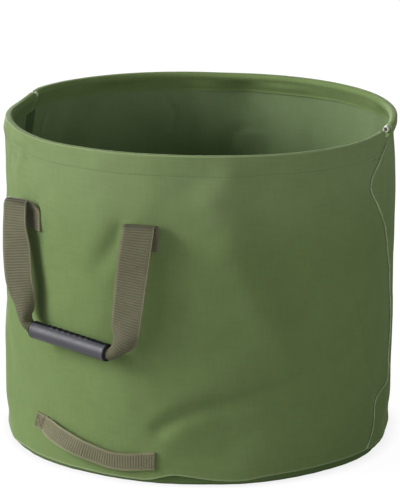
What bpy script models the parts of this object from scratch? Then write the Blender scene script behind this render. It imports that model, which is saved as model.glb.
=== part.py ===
"""Garden waste bag: a round canvas tub with a tube hoop in its rim, two carry handles and a tip strap.

Metres, +Z up. The origin is the middle of the base, on the ground, and the front handle faces -Y.
An azimuth is an angle round the bag in degrees, from -Y (the front handle) towards +X.
"""
import math

import bmesh
import bpy
from mathutils import Matrix, Vector

# Bag body
BAG_DIAMETER = 0.550  # over the wall at the rim
FOOT_DIAMETER = 0.542  # over the wall at its lower edge
BAG_HEIGHT = 0.460  # from the ground to the top of the rim
FOOT_GAP = 0.008  # the wall's lower edge hangs this far above the ground
CANVAS = 0.0012  # coated canvas, one layer
CLEARANCE = 0.0003  # between pieces that lie on each other
SEAM_TURN = 13.5  # degrees that the side seams stand past the bag's left and right

# Flat facets that stand for the round shapes
FACETS_HALF = 30  # round each half of the wall
HOOP_SIDES = 8  # round the hoop's tube
TAB_FACETS = 3  # across a sewn tab
WEBBING_FACETS = 8  # across the carry webbing
LEG_STEPS = 14  # along each hanging strap
FOLD_STEPS = 8  # round a folded loop
GRIP_FACETS = 24  # round the grip
TIP_STEPS = 40  # along the tip strap's line

# Rim
HOOP_DIAMETER = 0.008  # outside of the tube in the rim
HOOP_BORE = 0.005
HOOP_OPEN_FACETS = 1  # the hoop's two ends stop this many facets apart
HEM_DEPTH = 0.028  # the hem reaches this far below the top of the rim
HEM_CLOSE = 0.0066  # the hem comes back to the wall this far below the hoop's channel

# Base and inner tapes
BASE_CORNER = 0.008  # radius of the bend at the base's edge
BASE_UPTURN = 0.022  # height of the base's turned-up edge
TAPE = 0.0010  # thickness of the binding tape
TAPE_WIDTH = 0.024
TAPE_OVERHANG = 0.004  # the base binding starts this far above the ground's canvas bend

# Webbing
WEBBING = 0.0018  # thickness of the carry webbing
WEBBING_WIDTH = 0.045
WEBBING_SEAT = 0.0005  # between a sewn strap and the wall
STRAP_CUT = 0.0005  # between two lengths of one strap
CURL_CLEARANCE = 0.00035  # between the rolled webbing and the grip's bore

# Carry handle
TAB_AZIMUTH = 21.0  # each tab's middle, either side of the handle's middle
TAB_LENGTH = 0.0365  # from the fold down to the tab's lower edge
FOLD_DROP = 0.0915  # from the top of the rim down to the folds, and to the swing axis
FOLD_DEPTH = 0.017  # from the tab out to the hanging strap
FOLD_RISE = 0.0085  # height of the fold's round top
GRIP_DROP = 0.1735  # from the folds down to the grip's middle
GRIP_STANDOFF = 0.0163  # from the wall out to the grip's middle
GRIP_SHIFT = -0.0093  # of the grip's middle along X, because the handle hangs a little askew
GRIP_TILT = 4.4  # degrees that the grip hangs lower at its right end
GRIP_LENGTH = 0.130
GRIP_DIAMETER = 0.0235
GRIP_WALL = 0.0016
GRIP_TURN = 20.0  # degrees that the split between the grip's halves leans to the front
GRIP_BEVEL = 0.0006
GRIP_TOOTH_PITCH = 0.010
GRIP_TOOTH_HEIGHT = 0.0024
GRIP_TOOTH_CORNERS = ((0.12, 0), (0.28, 1), (0.62, 1), (0.78, 0))  # share of the pitch, and low or high

# Each hanging strap from its fold to the grip: share of the way down, bow away from the handle's
# middle as a share of the grip's drop, the way it faces in degrees, and how far it is rolled up,
# from flat (0) to the grip's curl (1)
LEFT_LEG = (
    (0.0, 0.0, 2.0, 0.0),
    (0.150, 0.0478, 2.0, 0.0),
    (0.315, 0.0801, 2.0, 0.0),
    (0.476, 0.0882, 2.0, 0.02),
    (0.625, 0.0859, 2.0, 0.08),
    (0.756, 0.0778, 1.0, 0.24),
    (0.866, 0.0715, 0.0, 0.52),
    (0.949, 0.0599, 0.0, 0.84),
    (0.995, 0.0305, 0.0, 1.0),
)
RIGHT_LEG = (
    (0.0, 0.0, 21.0, 0.0),
    (0.140, 0.0323, 21.0, 0.0),
    (0.281, 0.0548, 21.0, 0.0),
    (0.421, 0.0732, 20.0, 0.01),
    (0.562, 0.0916, 18.0, 0.07),
    (0.702, 0.1072, 14.0, 0.24),
    (0.837, 0.1124, 8.0, 0.56),
    (0.945, 0.0865, 2.0, 0.88),
    (0.998, 0.0392, 0.0, 1.0),
)

# Tip strap: the middle line's azimuth and height, left to right
TIP_WEBBING = 0.0016
TIP_WIDTH = 0.025
TIP_SLACK = 0.0055  # how far the loose middle stands out past the sewn ends
TIP_SLACK_POWER = 0.8  # below 1, the loose middle stands out more evenly along its length
TIP_FOLD_GAP = 0.0005  # between the two layers of a folded end
TIP_END_LENGTH = 0.020  # length of each folded, sewn end
TIP_LINE = (
    (-19.0, 0.0595),
    (-14.9, 0.0545),
    (-11.3, 0.0500),
    (-7.6, 0.0443),
    (-3.4, 0.0386),
    (0.7, 0.0338),
    (6.3, 0.0310),
    (9.8, 0.0288),
    (13.3, 0.0290),
    (17.8, 0.0312),
    (24.1, 0.0340),
)

# Box stitching on the sewn ends
STITCH = 0.0005  # thickness of the stitched pattern
STITCH_SEAT = 0.0004  # between the stitched pattern and the strap
STITCH_LINE = 0.0016  # width of one stitched line
TAB_STITCH_MARGIN = 0.0050  # from a tab's edges to its stitching
TIP_STITCH_MARGIN = 0.0030

CANVAS_GREEN = (0.180, 0.270, 0.105, 1.0)
CANVAS_INSIDE = (0.120, 0.190, 0.085, 1.0)
WEBBING_OLIVE = (0.145, 0.125, 0.080, 1.0)
GRIP_BLACK = (0.022, 0.022, 0.028, 1.0)
HOOP_WHITE = (0.800, 0.800, 0.770, 1.0)
THREAD_OLIVE = (0.200, 0.185, 0.120, 1.0)


def clear_scene():
    for item in list(bpy.data.objects):
        bpy.data.objects.remove(item, do_unlink=True)


def new_collection(name):
    made = bpy.data.collections.new(name)
    bpy.context.scene.collection.children.link(made)
    return made


def new_material(name, color, roughness):
    material = bpy.data.materials.new(name)
    material.use_nodes = True
    shader = material.node_tree.nodes["Principled BSDF"]
    shader.inputs["Base Color"].default_value = color
    shader.inputs["Roughness"].default_value = roughness
    shader.inputs["Metallic"].default_value = 0.0
    material.diffuse_color = color
    return material


def new_object(name, data, material, collection, parent=None):
    item = bpy.data.objects.new(name, data)
    data.materials.append(material)
    collection.objects.link(item)
    item.parent = parent
    return item


def smooth(mesh):
    mesh.shade_smooth()
    mesh.set_sharp_from_angle(angle=math.radians(35))


def thicken(item, thickness):
    """Thickness both ways from the surface."""
    solid = item.modifiers.new("Thickness", "SOLIDIFY")
    solid.thickness = thickness
    solid.offset = 0.0
    solid.use_even_offset = True


def outward(azimuth):
    turn = math.radians(azimuth)
    return Vector((math.sin(turn), -math.cos(turn), 0.0))


def sideways(azimuth):
    turn = math.radians(azimuth)
    return Vector((math.cos(turn), math.sin(turn), 0.0))


def on_bag(azimuth, radius, height):
    return outward(azimuth) * radius + Vector((0.0, 0.0, height))


def wall_radius(height):
    """Outside radius of the wall, which tapers a little towards its foot."""
    share = (height - FOOT_GAP) / (BAG_HEIGHT - FOOT_GAP)
    return (FOOT_DIAMETER + (BAG_DIAMETER - FOOT_DIAMETER) * share) / 2


def wall_normal(azimuth):
    """Straight out of the wall, which leans outward towards its rim."""
    lean = (BAG_DIAMETER - FOOT_DIAMETER) / 2 / (BAG_HEIGHT - FOOT_GAP)
    return (outward(azimuth) - Vector((0.0, 0.0, lean))).normalized()


def facet_sag():
    """How far the middle of a wall facet lies inside the round that its edges follow."""
    return BAG_DIAMETER / 2 * (1 - math.cos(math.pi / FACETS_HALF / 2))


def turned(name, profile, start, sweep, facets, thickness, material, collection, closed=False):
    """A shell round the bag: a profile of (radius, height), turned from one azimuth and thickened."""
    mesh = bpy.data.meshes.new(name)
    edges = [(i, i + 1) for i in range(len(profile) - 1)]
    if closed:
        edges.append((len(profile) - 1, 0))
    mesh.from_pydata([(radius, 0.0, height) for radius, height in profile], edges, [])
    item = new_object(name, mesh, material, collection)
    item.rotation_euler.z = math.radians(start - 90)
    screw = item.modifiers.new("Turn", "SCREW")
    screw.angle = math.radians(sweep)
    screw.steps = screw.render_steps = facets
    screw.use_merge_vertices = True
    screw.merge_threshold = 0.00001
    screw.use_smooth_shade = True
    thicken(item, thickness)
    return item


def panel_profile():
    """Middle of the canvas, from the hem's edge inside, over the hoop and down to the foot."""
    skin = CANVAS / 2
    channel = HOOP_DIAMETER / 2 + CLEARANCE + skin
    top = hoop_height()
    middle = hoop_radius()
    meet = top - channel - HEM_CLOSE
    hem_edge = BAG_HEIGHT - HEM_DEPTH
    layer = skin + CANVAS + CLEARANCE
    points = [(wall_radius(hem_edge) - layer, hem_edge), (wall_radius(meet) - layer, meet)]
    for degrees in (225, 180, 150, 120, 90, 60, 30):
        turn = math.radians(degrees)
        points.append((middle + channel * math.cos(turn), top + channel * math.sin(turn)))
    points.append((wall_radius(top) - skin, top))
    points.append((wall_radius(FOOT_GAP) - skin, FOOT_GAP))
    return points


def hoop_height():
    return BAG_HEIGHT - CANVAS - CLEARANCE - HOOP_DIAMETER / 2


def hoop_radius():
    return wall_radius(hoop_height()) - CANVAS - CLEARANCE - HOOP_DIAMETER / 2


def make_panels(materials, collection):
    """Two half walls, each sewn with its own hem, that meet at the side seams."""
    cut = math.degrees(CLEARANCE / (BAG_DIAMETER / 2))
    for name, start in (("front_panel", SEAM_TURN - 90), ("back_panel", SEAM_TURN + 90)):
        turned(name, panel_profile(), start + cut / 2, 180 - cut, FACETS_HALF, CANVAS,
               materials["canvas"], collection)


def make_rim_hoop(materials, collection):
    """A plastic tube bent to a ring inside the hem, with its two open ends at the right seam."""
    middle = (HOOP_DIAMETER + HOOP_BORE) / 4
    ring = []
    for i in range(HOOP_SIDES):
        turn = math.radians(-360 * i / HOOP_SIDES)
        ring.append((hoop_radius() + middle * math.cos(turn), hoop_height() + middle * math.sin(turn)))
    facets = 2 * FACETS_HALF - HOOP_OPEN_FACETS
    sweep = 180 * facets / FACETS_HALF
    turned("rim_hoop", ring, 90 + SEAM_TURN, sweep, facets, (HOOP_DIAMETER - HOOP_BORE) / 2,
           materials["hoop"], collection, closed=True)


def base_radius():
    """Outside radius of the base's turned-up edge, inside the wall's foot."""
    return FOOT_DIAMETER / 2 - CANVAS - CLEARANCE


def make_base(materials, collection):
    """The round bottom, with its edge turned up inside the wall, and the tape that binds that seam."""
    skin = CANVAS / 2
    edge = base_radius() - skin
    bend = BASE_CORNER - skin
    profile = [(edge, BASE_UPTURN), (edge, BASE_CORNER)]
    for degrees in (30, 60, 90):
        turn = math.radians(degrees)
        profile.append((edge - bend + bend * math.cos(turn), BASE_CORNER - bend * math.sin(turn)))
    profile.append((0.0, skin))
    start = SEAM_TURN - 90
    turned("base_panel", profile, start, 360, 2 * FACETS_HALF, CANVAS, materials["canvas"], collection)
    inner = base_radius() - CANVAS - CLEARANCE - TAPE / 2
    lower = BASE_CORNER + TAPE_OVERHANG
    tape = [(inner, lower + TAPE_WIDTH), (inner, lower)]
    turned("base_binding", tape, start, 360, 2 * FACETS_HALF, TAPE, materials["tape"], collection)


def make_seam_tapes(materials, collection):
    """A tape inside each side seam, from the base binding up to the hem."""
    lower = BASE_CORNER + TAPE_OVERHANG + TAPE_WIDTH + CLEARANCE
    upper = BAG_HEIGHT - HEM_DEPTH - CLEARANCE
    inset = CANVAS + CLEARANCE + facet_sag() + TAPE / 2
    profile = [(wall_radius(height) - inset, height) for height in (upper, lower)]
    sweep = math.degrees(TAPE_WIDTH / (BAG_DIAMETER / 2))
    for name, azimuth in (("right_seam_tape", 90 + SEAM_TURN), ("left_seam_tape", 270 + SEAM_TURN)):
        turned(name, profile, azimuth - sweep / 2, sweep, 2, TAPE, materials["tape"], collection)


def curve_through(points, count):
    """Rows of numbers, evenly shared along a smooth curve through the given rows."""
    rows = [tuple(2 * a - b for a, b in zip(points[0], points[1]))]
    rows += list(points)
    rows.append(tuple(2 * a - b for a, b in zip(points[-1], points[-2])))
    made = []
    for i in range(count + 1):
        place = i / count * (len(points) - 1)
        span = min(int(place), len(points) - 2)
        t = place - span
        near = rows[span:span + 4]
        made.append(tuple(
            (2 * b + (c - a) * t + (2 * a - 5 * b + 4 * c - d) * t * t + (3 * b - a - 3 * c + d) * t ** 3) / 2
            for a, b, c, d in zip(*near)
        ))
    return made


def curled_radius():
    """Radius of the middle of the webbing's thickness where it is rolled up inside the grip."""
    return GRIP_DIAMETER / 2 - GRIP_WALL - CURL_CLEARANCE - WEBBING / 2


def section(middle, side, normal, width, rolled, facets):
    """Points across a strap. Rolled from 0 to 1, it goes from flat to the curl that fills the grip."""
    curl = curled_radius()
    points = []
    for i in range(facets + 1):
        across = width * (i / facets - 0.5)
        if rolled < 0.001:
            points.append(middle + side * across)
            continue
        radius = curl / rolled
        turn = across / radius
        rise = radius * (math.cos(turn) - 1) + curl * rolled
        points.append(middle + side * (radius * math.sin(turn)) + normal * rise)
    return points


def ribbon(name, sections, thickness, material, collection, parent=None):
    """A strap lofted through its sections, each a row of points, and thickened both ways."""
    across = len(sections[0])
    points = [point for row in sections for point in row]
    faces = []
    for i in range(len(sections) - 1):
        for j in range(across - 1):
            first = i * across + j
            faces.append((first, first + across, first + across + 1, first + 1))
    mesh = bpy.data.meshes.new(name)
    mesh.from_pydata(points, [], faces)
    smooth(mesh)
    item = new_object(name, mesh, material, collection, parent)
    thicken(item, thickness)
    return item


def fold_height():
    return BAG_HEIGHT - FOLD_DROP


def tab_middle(azimuth):
    """Where the middle of a tab's thickness ends at the fold."""
    distance = wall_radius(fold_height()) + WEBBING_SEAT + WEBBING / 2
    return on_bag(azimuth, distance, fold_height())


def swing_point():
    """The middle of the handle's swing axis, which runs through the tops of both hanging straps."""
    distance = wall_radius(fold_height()) + WEBBING_SEAT + WEBBING / 2 + FOLD_DEPTH
    return Vector((0.0, -distance * math.cos(math.radians(TAB_AZIMUTH)), fold_height()))


def grip_ends():
    height = fold_height() - GRIP_DROP
    middle = Vector((GRIP_SHIFT, -wall_radius(height) - GRIP_STANDOFF, height))
    tilt = math.radians(GRIP_TILT)
    along = Vector((math.cos(tilt), 0.0, -math.sin(tilt)))
    return middle - along * GRIP_LENGTH / 2, middle + along * GRIP_LENGTH / 2


def leg_line(leg, sign, grip_end):
    """Rows of X, Y, Z, facing and share rolled, from the fold down to the grip's end."""
    top = tab_middle(sign * TAB_AZIMUTH) + outward(sign * TAB_AZIMUTH) * FOLD_DEPTH
    top.z -= STRAP_CUT
    line = []
    for share, bow, facing, rolled in leg:
        place = top.lerp(grip_end, share)
        place.x += sign * bow * GRIP_DROP
        line.append(tuple(place) + (facing, rolled))
    return line + [tuple(grip_end) + (0.0, 1.0)]


def strap_rows(line, width, facets, shift):
    """Sections of a hanging strap from its rows. Both of its ends hang straight down from their folds."""
    places = [Vector(row[:3]) for row in line]
    last = len(places) - 1
    rows = []
    for i, place in enumerate(places):
        ahead = (places[min(i + 1, last)] - places[max(i - 1, 0)]).normalized()
        if i in (0, last):
            ahead = Vector((0.0, 0.0, -1.0 if i == 0 else 1.0))
        facing = outward(line[i][3])
        side = ahead.cross(facing).normalized()
        normal = side.cross(ahead)
        rows.append(section(place - shift, side, normal, width, line[i][4], facets))
    return rows


def loop_rows(azimuth, facing, shift):
    """The fold over the top of a tab: a half round that turns to face the way the hanging strap does."""
    start = tab_middle(azimuth)
    end = start + outward(azimuth) * FOLD_DEPTH
    rows = []
    for i in range(FOLD_STEPS + 1):
        turn = math.pi * i / FOLD_STEPS
        reach = (1 - math.cos(turn)) / 2
        place = start.lerp(end, reach)
        place.z += FOLD_RISE * math.sin(turn)
        side = -sideways(azimuth + (facing - azimuth) * reach)
        rows.append(section(place - shift, side, Vector((0, 0, 1)), WEBBING_WIDTH, 0.0, 2))
    return rows


def stitch_plate(name, size, material, collection):
    """Box stitching as one thin plate: a rectangle with a cross in it and four windows between."""
    curve = bpy.data.curves.new(name, "CURVE")
    curve.dimensions = "2D"
    curve.fill_mode = "BOTH"
    curve.extrude = STITCH / 2
    half_x, half_y = size[0] / 2, size[1] / 2
    outlines = [[(-half_x, -half_y), (half_x, -half_y), (half_x, half_y), (-half_x, half_y)]]
    inner_x, inner_y = half_x - STITCH_LINE, half_y - STITCH_LINE
    slope = math.hypot(inner_x, inner_y)
    gap_x = STITCH_LINE / 2 * slope / inner_y
    gap_y = STITCH_LINE / 2 * slope / inner_x
    for sign in (1, -1):
        outlines.append([(sign * gap_x, 0), (sign * inner_x, inner_y - gap_y), (sign * inner_x, gap_y - inner_y)])
        outlines.append([(0, sign * gap_y), (inner_x - gap_x, sign * inner_y), (gap_x - inner_x, sign * inner_y)])
    for outline in outlines:
        spline = curve.splines.new("POLY")
        spline.points.add(len(outline) - 1)
        spline.use_cyclic_u = True
        for point, (x, y) in zip(spline.points, outline):
            point.co = (x, y, 0, 1)
    return new_object(name, curve, material, collection)


def facing_matrix(place, side, normal):
    """A frame at a place whose X is the side, and whose Z is the normal."""
    across = side.normalized()
    out = normal.normalized()
    up = out.cross(across)
    frame = Matrix((across, up, out)).transposed().to_4x4()
    frame.translation = place
    return frame


def grip_frame():
    """The grip's frame: X along the grip, Y up, Z outward, leaning so that the split shows in front."""
    left, right = grip_ends()
    along = (right - left).normalized()
    front = Vector((0.0, -1.0, 0.0))
    front = (front - along * front.dot(along)).normalized()
    front.rotate(Matrix.Rotation(math.radians(GRIP_TURN), 3, along))
    return facing_matrix((left + right) / 2, along, front)


def grip_tube(name, material, collection, parent):
    """A full round tube along X, turned from its wall's section, which each half of the grip is cut from."""
    outer = GRIP_DIAMETER / 2
    inner = outer - GRIP_WALL
    half = GRIP_LENGTH / 2
    profile = [
        (inner, -half), (inner, half), (outer - GRIP_BEVEL, half), (outer, half - GRIP_BEVEL),
        (outer, GRIP_BEVEL - half), (outer - GRIP_BEVEL, -half),
    ]
    turn = math.pi / GRIP_FACETS
    mesh = bpy.data.meshes.new(name)
    edges = [(i, (i + 1) % len(profile)) for i in range(len(profile))]
    mesh.from_pydata([(x, radius * math.cos(turn), radius * math.sin(turn)) for radius, x in profile], edges, [])
    item = new_object(name, mesh, material, collection, parent)
    screw = item.modifiers.new("Turn", "SCREW")
    screw.axis = "X"
    screw.steps = screw.render_steps = GRIP_FACETS
    screw.use_merge_vertices = True
    screw.merge_threshold = 0.00001
    return item


def toothed_cutter(name, sign, material, collection, parent):
    """A prism on one side of the grip's split, whose edge waves along the snap teeth."""
    curve = bpy.data.curves.new(name, "CURVE")
    curve.dimensions = "2D"
    curve.fill_mode = "BOTH"
    curve.extrude = GRIP_DIAMETER
    teeth = int(GRIP_LENGTH / GRIP_TOOTH_PITCH)
    start = -teeth * GRIP_TOOTH_PITCH / 2
    edge = [(-GRIP_LENGTH, 0.0)]
    for i in range(teeth):
        for share, high in GRIP_TOOTH_CORNERS:
            edge.append((start + (i + share) * GRIP_TOOTH_PITCH, high * GRIP_TOOTH_HEIGHT))
    edge.append((GRIP_LENGTH, 0.0))
    shift = sign * CLEARANCE * 0.75
    outline = [(x, y + shift) for x, y in edge]
    outline += [(GRIP_LENGTH, sign * GRIP_DIAMETER), (-GRIP_LENGTH, sign * GRIP_DIAMETER)]
    spline = curve.splines.new("POLY")
    spline.points.add(len(outline) - 1)
    spline.use_cyclic_u = True
    for point, (x, y) in zip(spline.points, outline):
        point.co = (x, y, 0, 1)
    flat = new_object(name + "_outline", curve, material, collection)
    bpy.context.view_layer.update()
    graph = bpy.context.evaluated_depsgraph_get()
    mesh = bpy.data.meshes.new_from_object(flat.evaluated_get(graph))
    bpy.data.objects.remove(flat, do_unlink=True)
    made = bmesh.new()
    made.from_mesh(mesh)
    bmesh.ops.remove_doubles(made, verts=made.verts, dist=0.000001)
    made.to_mesh(mesh)
    made.free()
    cutter = bpy.data.objects.new(name, mesh)
    collection.objects.link(cutter)
    cutter.parent = parent
    # The prism's outline lies in X and Y. Here Y becomes the grip's outward Z.
    cutter.matrix_local = Matrix.Rotation(math.radians(90), 4, "X")
    cutter.hide_render = True
    cutter.display_type = "WIRE"
    return cutter


def make_grip(prefix, pivot, parent, materials, collection, cutters):
    """A tubular plastic grip in two halves that snap together round the rolled webbing."""
    frame = bpy.data.objects.new(prefix + "_grip_frame", None)
    collection.objects.link(frame)
    frame.parent = parent
    frame.matrix_local = Matrix.Translation(-pivot) @ grip_frame()
    for half, sign in (("outer", 1), ("inner", -1)):
        name = prefix + "_grip_" + half
        shell = grip_tube(name, materials["grip"], collection, frame)
        cutter = toothed_cutter(name + "_cutter", sign, materials["grip"], cutters, frame)
        cut = shell.modifiers.new("Split", "BOOLEAN")
        cut.operation = "INTERSECT"
        cut.solver = "EXACT"
        cut.object = cutter


def make_handle(prefix, turn, materials, collection, cutters):
    """One carry handle: two sewn tabs, their folded loops, the webbing and its grip, on a swing axis."""
    pivot = swing_point()
    about = Matrix.Rotation(math.radians(turn), 4, "Z")
    axis = bpy.data.objects.new(prefix + "_swing_axis", None)
    collection.objects.link(axis)
    axis.matrix_world = about @ Matrix.Translation(pivot)
    lines = []
    for side, sign, leg, end in zip(("left", "right"), (-1, 1), (LEFT_LEG, RIGHT_LEG), grip_ends()):
        azimuth = sign * TAB_AZIMUTH
        make_tab(f"{prefix}_{side}", azimuth, turn, about, materials, collection)
        rows = loop_rows(azimuth, leg[0][2], pivot)
        ribbon(f"{prefix}_{side}_loop", rows, WEBBING, materials["webbing"], collection, axis)
        lines.append(curve_through(leg_line(leg, sign, end), LEG_STEPS))
    rows = strap_rows(lines[0] + lines[1][::-1], WEBBING_WIDTH, WEBBING_FACETS, pivot)
    ribbon(prefix + "_webbing", rows, WEBBING, materials["webbing"], collection, axis)
    make_grip(prefix, pivot, axis, materials, collection, cutters)


def make_tab(prefix, azimuth, turn, about, materials, collection):
    """The webbing's end, sewn flat on the wall below the fold, with its box stitching."""
    middle = WEBBING_SEAT + WEBBING / 2
    top = fold_height() - STRAP_CUT
    bottom = fold_height() - TAB_LENGTH
    profile = [(wall_radius(height) + middle, height) for height in (top, bottom)]
    sweep = math.degrees(WEBBING_WIDTH / (BAG_DIAMETER / 2))
    turned(prefix + "_tab", profile, azimuth - sweep / 2 + turn, sweep, TAB_FACETS, WEBBING,
           materials["webbing"], collection)
    size = (WEBBING_WIDTH - 2 * TAB_STITCH_MARGIN, TAB_LENGTH - 2 * TAB_STITCH_MARGIN)
    plate = stitch_plate(prefix + "_stitching", size, materials["thread"], collection)
    height = (top + bottom) / 2
    distance = wall_radius(height) + WEBBING_SEAT + WEBBING + STITCH_SEAT + STITCH / 2
    plate.matrix_world = about @ facing_matrix(on_bag(azimuth, distance, height), sideways(azimuth),
                                               wall_normal(azimuth))


def tip_place(azimuth, height, standoff):
    return on_bag(azimuth, wall_radius(height) + standoff, height)


def tip_rows(line, standoffs):
    """Sections of the tip strap, which lies along the wall at the given distances from it."""
    places = [tip_place(row[0], row[1], out) for row, out in zip(line, standoffs)]
    rows = []
    for i, place in enumerate(places):
        ahead = (places[min(i + 1, len(places) - 1)] - places[max(i - 1, 0)]).normalized()
        normal = outward(line[i][0])
        side = ahead.cross(normal).normalized()
        rows.append(section(place, side, normal, TIP_WIDTH, 0.0, 2))
    return rows


def tip_lines():
    """The tip strap's middle line, cut into its left end, its loose middle and its right end."""
    line = curve_through(TIP_LINE, TIP_STEPS)
    end_turn = math.degrees(TIP_END_LENGTH / (FOOT_DIAMETER / 2))
    cut = math.degrees(STRAP_CUT / (FOOT_DIAMETER / 2))
    first, last = line[0][0] + end_turn, line[-1][0] - end_turn
    left = [row for row in line if row[0] < first] + [between(line, first)]
    right = [between(line, last)] + [row for row in line if row[0] > last]
    loose = [between(line, first + cut)]
    loose += [row for row in line[::2] if first + 3 * cut < row[0] < last - 3 * cut]
    loose.append(between(line, last - cut))
    return left, loose, right


def between(line, azimuth):
    """The row of the line at an azimuth."""
    for near, far in zip(line, line[1:]):
        if near[0] <= azimuth <= far[0]:
            share = (azimuth - near[0]) / (far[0] - near[0])
            return azimuth, near[1] + (far[1] - near[1]) * share
    raise ValueError("the tip strap's line does not reach that azimuth")


def folded_end_rows(line):
    """A doubled strap end: the outer layer along the line, round its end, and back under itself."""
    inner = WEBBING_SEAT + TIP_WEBBING / 2
    outer = inner + TIP_WEBBING + TIP_FOLD_GAP
    bend = (outer - inner) / 2
    sign = 1 if line[-1][0] > line[0][0] else -1
    bend_turn = sign * math.degrees(bend / (FOOT_DIAMETER / 2))
    over = [row for row in line if abs(row[0] - line[-1][0]) > abs(bend_turn) * 1.5]
    stop = (line[-1][0] - bend_turn, line[-1][1])
    end = places_of(over + [stop], outer)
    middle = tip_place(stop[0], stop[1], (inner + outer) / 2)
    normal = outward(stop[0])
    ahead = sideways(stop[0]) * sign
    for degrees in (45, 90, 135):
        turn = math.radians(degrees)
        end.append((middle + ahead * (bend * math.sin(turn)) + normal * (bend * math.cos(turn)), stop[0]))
    end += places_of([stop] + over[:0:-1], inner)
    rows = []
    slope = (line[-1][1] - line[0][1]) / math.radians(line[-1][0] - line[0][0]) / (FOOT_DIAMETER / 2)
    for place, azimuth in end:
        along = (sideways(azimuth) + Vector((0, 0, slope))).normalized()
        side = along.cross(outward(azimuth)).normalized()
        rows.append(section(place, side, outward(azimuth), TIP_WIDTH, 0.0, 2))
    return rows


def places_of(line, standoff):
    return [(tip_place(azimuth, height, standoff), azimuth) for azimuth, height in line]


def make_tip_strap(materials, collection):
    """The low strap used to tip the bag out: two folded, sewn ends and a loose middle that pulls out."""
    left, loose, right = tip_lines()
    seat = WEBBING_SEAT + TIP_WEBBING + TIP_FOLD_GAP + TIP_WEBBING / 2
    for name, line in (("tip_strap_left_end", left[::-1]), ("tip_strap_right_end", right)):
        ribbon(name, folded_end_rows(line), TIP_WEBBING, materials["webbing"], collection)
        azimuth, height = line[len(line) // 2]
        plate_name = name.replace("end", "stitching")
        size = (TIP_END_LENGTH - 2 * TIP_STITCH_MARGIN, TIP_WIDTH - 2 * TIP_STITCH_MARGIN)
        plate = stitch_plate(plate_name, size, materials["thread"], collection)
        place = tip_place(azimuth, height, seat + TIP_WEBBING / 2 + STITCH_SEAT + STITCH / 2)
        slope = (line[-1][1] - line[0][1]) / math.radians(line[-1][0] - line[0][0]) / (FOOT_DIAMETER / 2)
        along = (sideways(azimuth) + Vector((0, 0, slope))).normalized()
        plate.matrix_world = facing_matrix(place, along, wall_normal(azimuth))
    first, last = loose[0][0], loose[-1][0]
    standoffs = []
    for azimuth, _ in loose:
        share = (azimuth - first) / (last - first)
        standoffs.append(seat + TIP_SLACK * math.sin(math.pi * share) ** TIP_SLACK_POWER)
    pull = bpy.data.objects.new("tip_strap_pull", None)
    collection.objects.link(pull)
    pull.location = tip_place((first + last) / 2, loose[len(loose) // 2][1], seat)
    bpy.context.view_layer.update()
    strap = ribbon("tip_strap", tip_rows(loose, standoffs), TIP_WEBBING, materials["webbing"], collection, pull)
    strap.matrix_parent_inverse = pull.matrix_world.inverted()


def main():
    clear_scene()
    collection = new_collection("garden_waste_bag")
    cutters = new_collection("cutters")
    materials = {
        "canvas": new_material("canvas", CANVAS_GREEN, 0.85),
        "tape": new_material("binding_tape", CANVAS_INSIDE, 0.85),
        "webbing": new_material("webbing", WEBBING_OLIVE, 0.80),
        "grip": new_material("grip_plastic", GRIP_BLACK, 0.35),
        "hoop": new_material("hoop_plastic", HOOP_WHITE, 0.40),
        "thread": new_material("thread", THREAD_OLIVE, 0.70),
    }
    make_panels(materials, collection)
    make_base(materials, collection)
    make_seam_tapes(materials, collection)
    make_rim_hoop(materials, collection)
    make_handle("front", 0, materials, collection, cutters)
    make_handle("back", 180, materials, collection, cutters)
    make_tip_strap(materials, collection)


main()
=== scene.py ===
"""Garden waste bag: a round canvas tub with a tube hoop in its rim, two carry handles and a tip strap.

Metres, +Z up. The front handle faces -Y. An azimuth is an angle round the bag in degrees, from -Y
towards +X. Laid out as an add-on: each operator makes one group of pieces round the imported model.
"""
import math
import random

import bmesh
import bpy
import numpy as np
from mathutils import Matrix, Vector


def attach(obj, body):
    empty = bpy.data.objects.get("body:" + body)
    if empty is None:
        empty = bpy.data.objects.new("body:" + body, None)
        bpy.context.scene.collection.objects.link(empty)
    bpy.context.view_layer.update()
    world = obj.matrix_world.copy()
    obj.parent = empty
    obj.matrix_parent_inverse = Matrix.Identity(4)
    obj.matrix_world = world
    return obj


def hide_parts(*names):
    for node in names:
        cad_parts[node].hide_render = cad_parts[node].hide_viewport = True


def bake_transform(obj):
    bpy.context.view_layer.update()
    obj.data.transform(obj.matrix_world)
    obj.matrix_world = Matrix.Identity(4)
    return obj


bl_info = {
    "name": "Garden Waste Bag",
    "version": (1, 0, 0),
    "blender": (4, 5, 0),
    "location": "3D Viewport > Sidebar > Garden Bag",
    "description": "Builds a round canvas garden bag with a tube hoop, carry handles and a tip strap",
    "category": "Object",
}

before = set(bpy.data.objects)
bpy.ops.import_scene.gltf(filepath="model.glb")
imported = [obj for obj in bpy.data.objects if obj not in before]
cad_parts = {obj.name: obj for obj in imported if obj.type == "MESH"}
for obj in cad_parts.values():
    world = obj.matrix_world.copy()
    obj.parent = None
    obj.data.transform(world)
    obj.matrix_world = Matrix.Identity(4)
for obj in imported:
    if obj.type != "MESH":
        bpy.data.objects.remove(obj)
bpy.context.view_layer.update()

# Canvas wall
RIM_RADIUS = 0.275  # outside of the wall at the rim
FOOT_RADIUS = 0.271  # outside of the wall at its lower edge
BAG_HEIGHT = 0.460
FOOT_GAP = 0.008
FOOT_FLARE = 0.0010  # how far the wall's lower edge stands out over the base
CLEARANCE = 0.0003
HEM_DEPTH = 0.028
HEM_STITCH = 0.4325  # height of the hem's row of stitches

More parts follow.
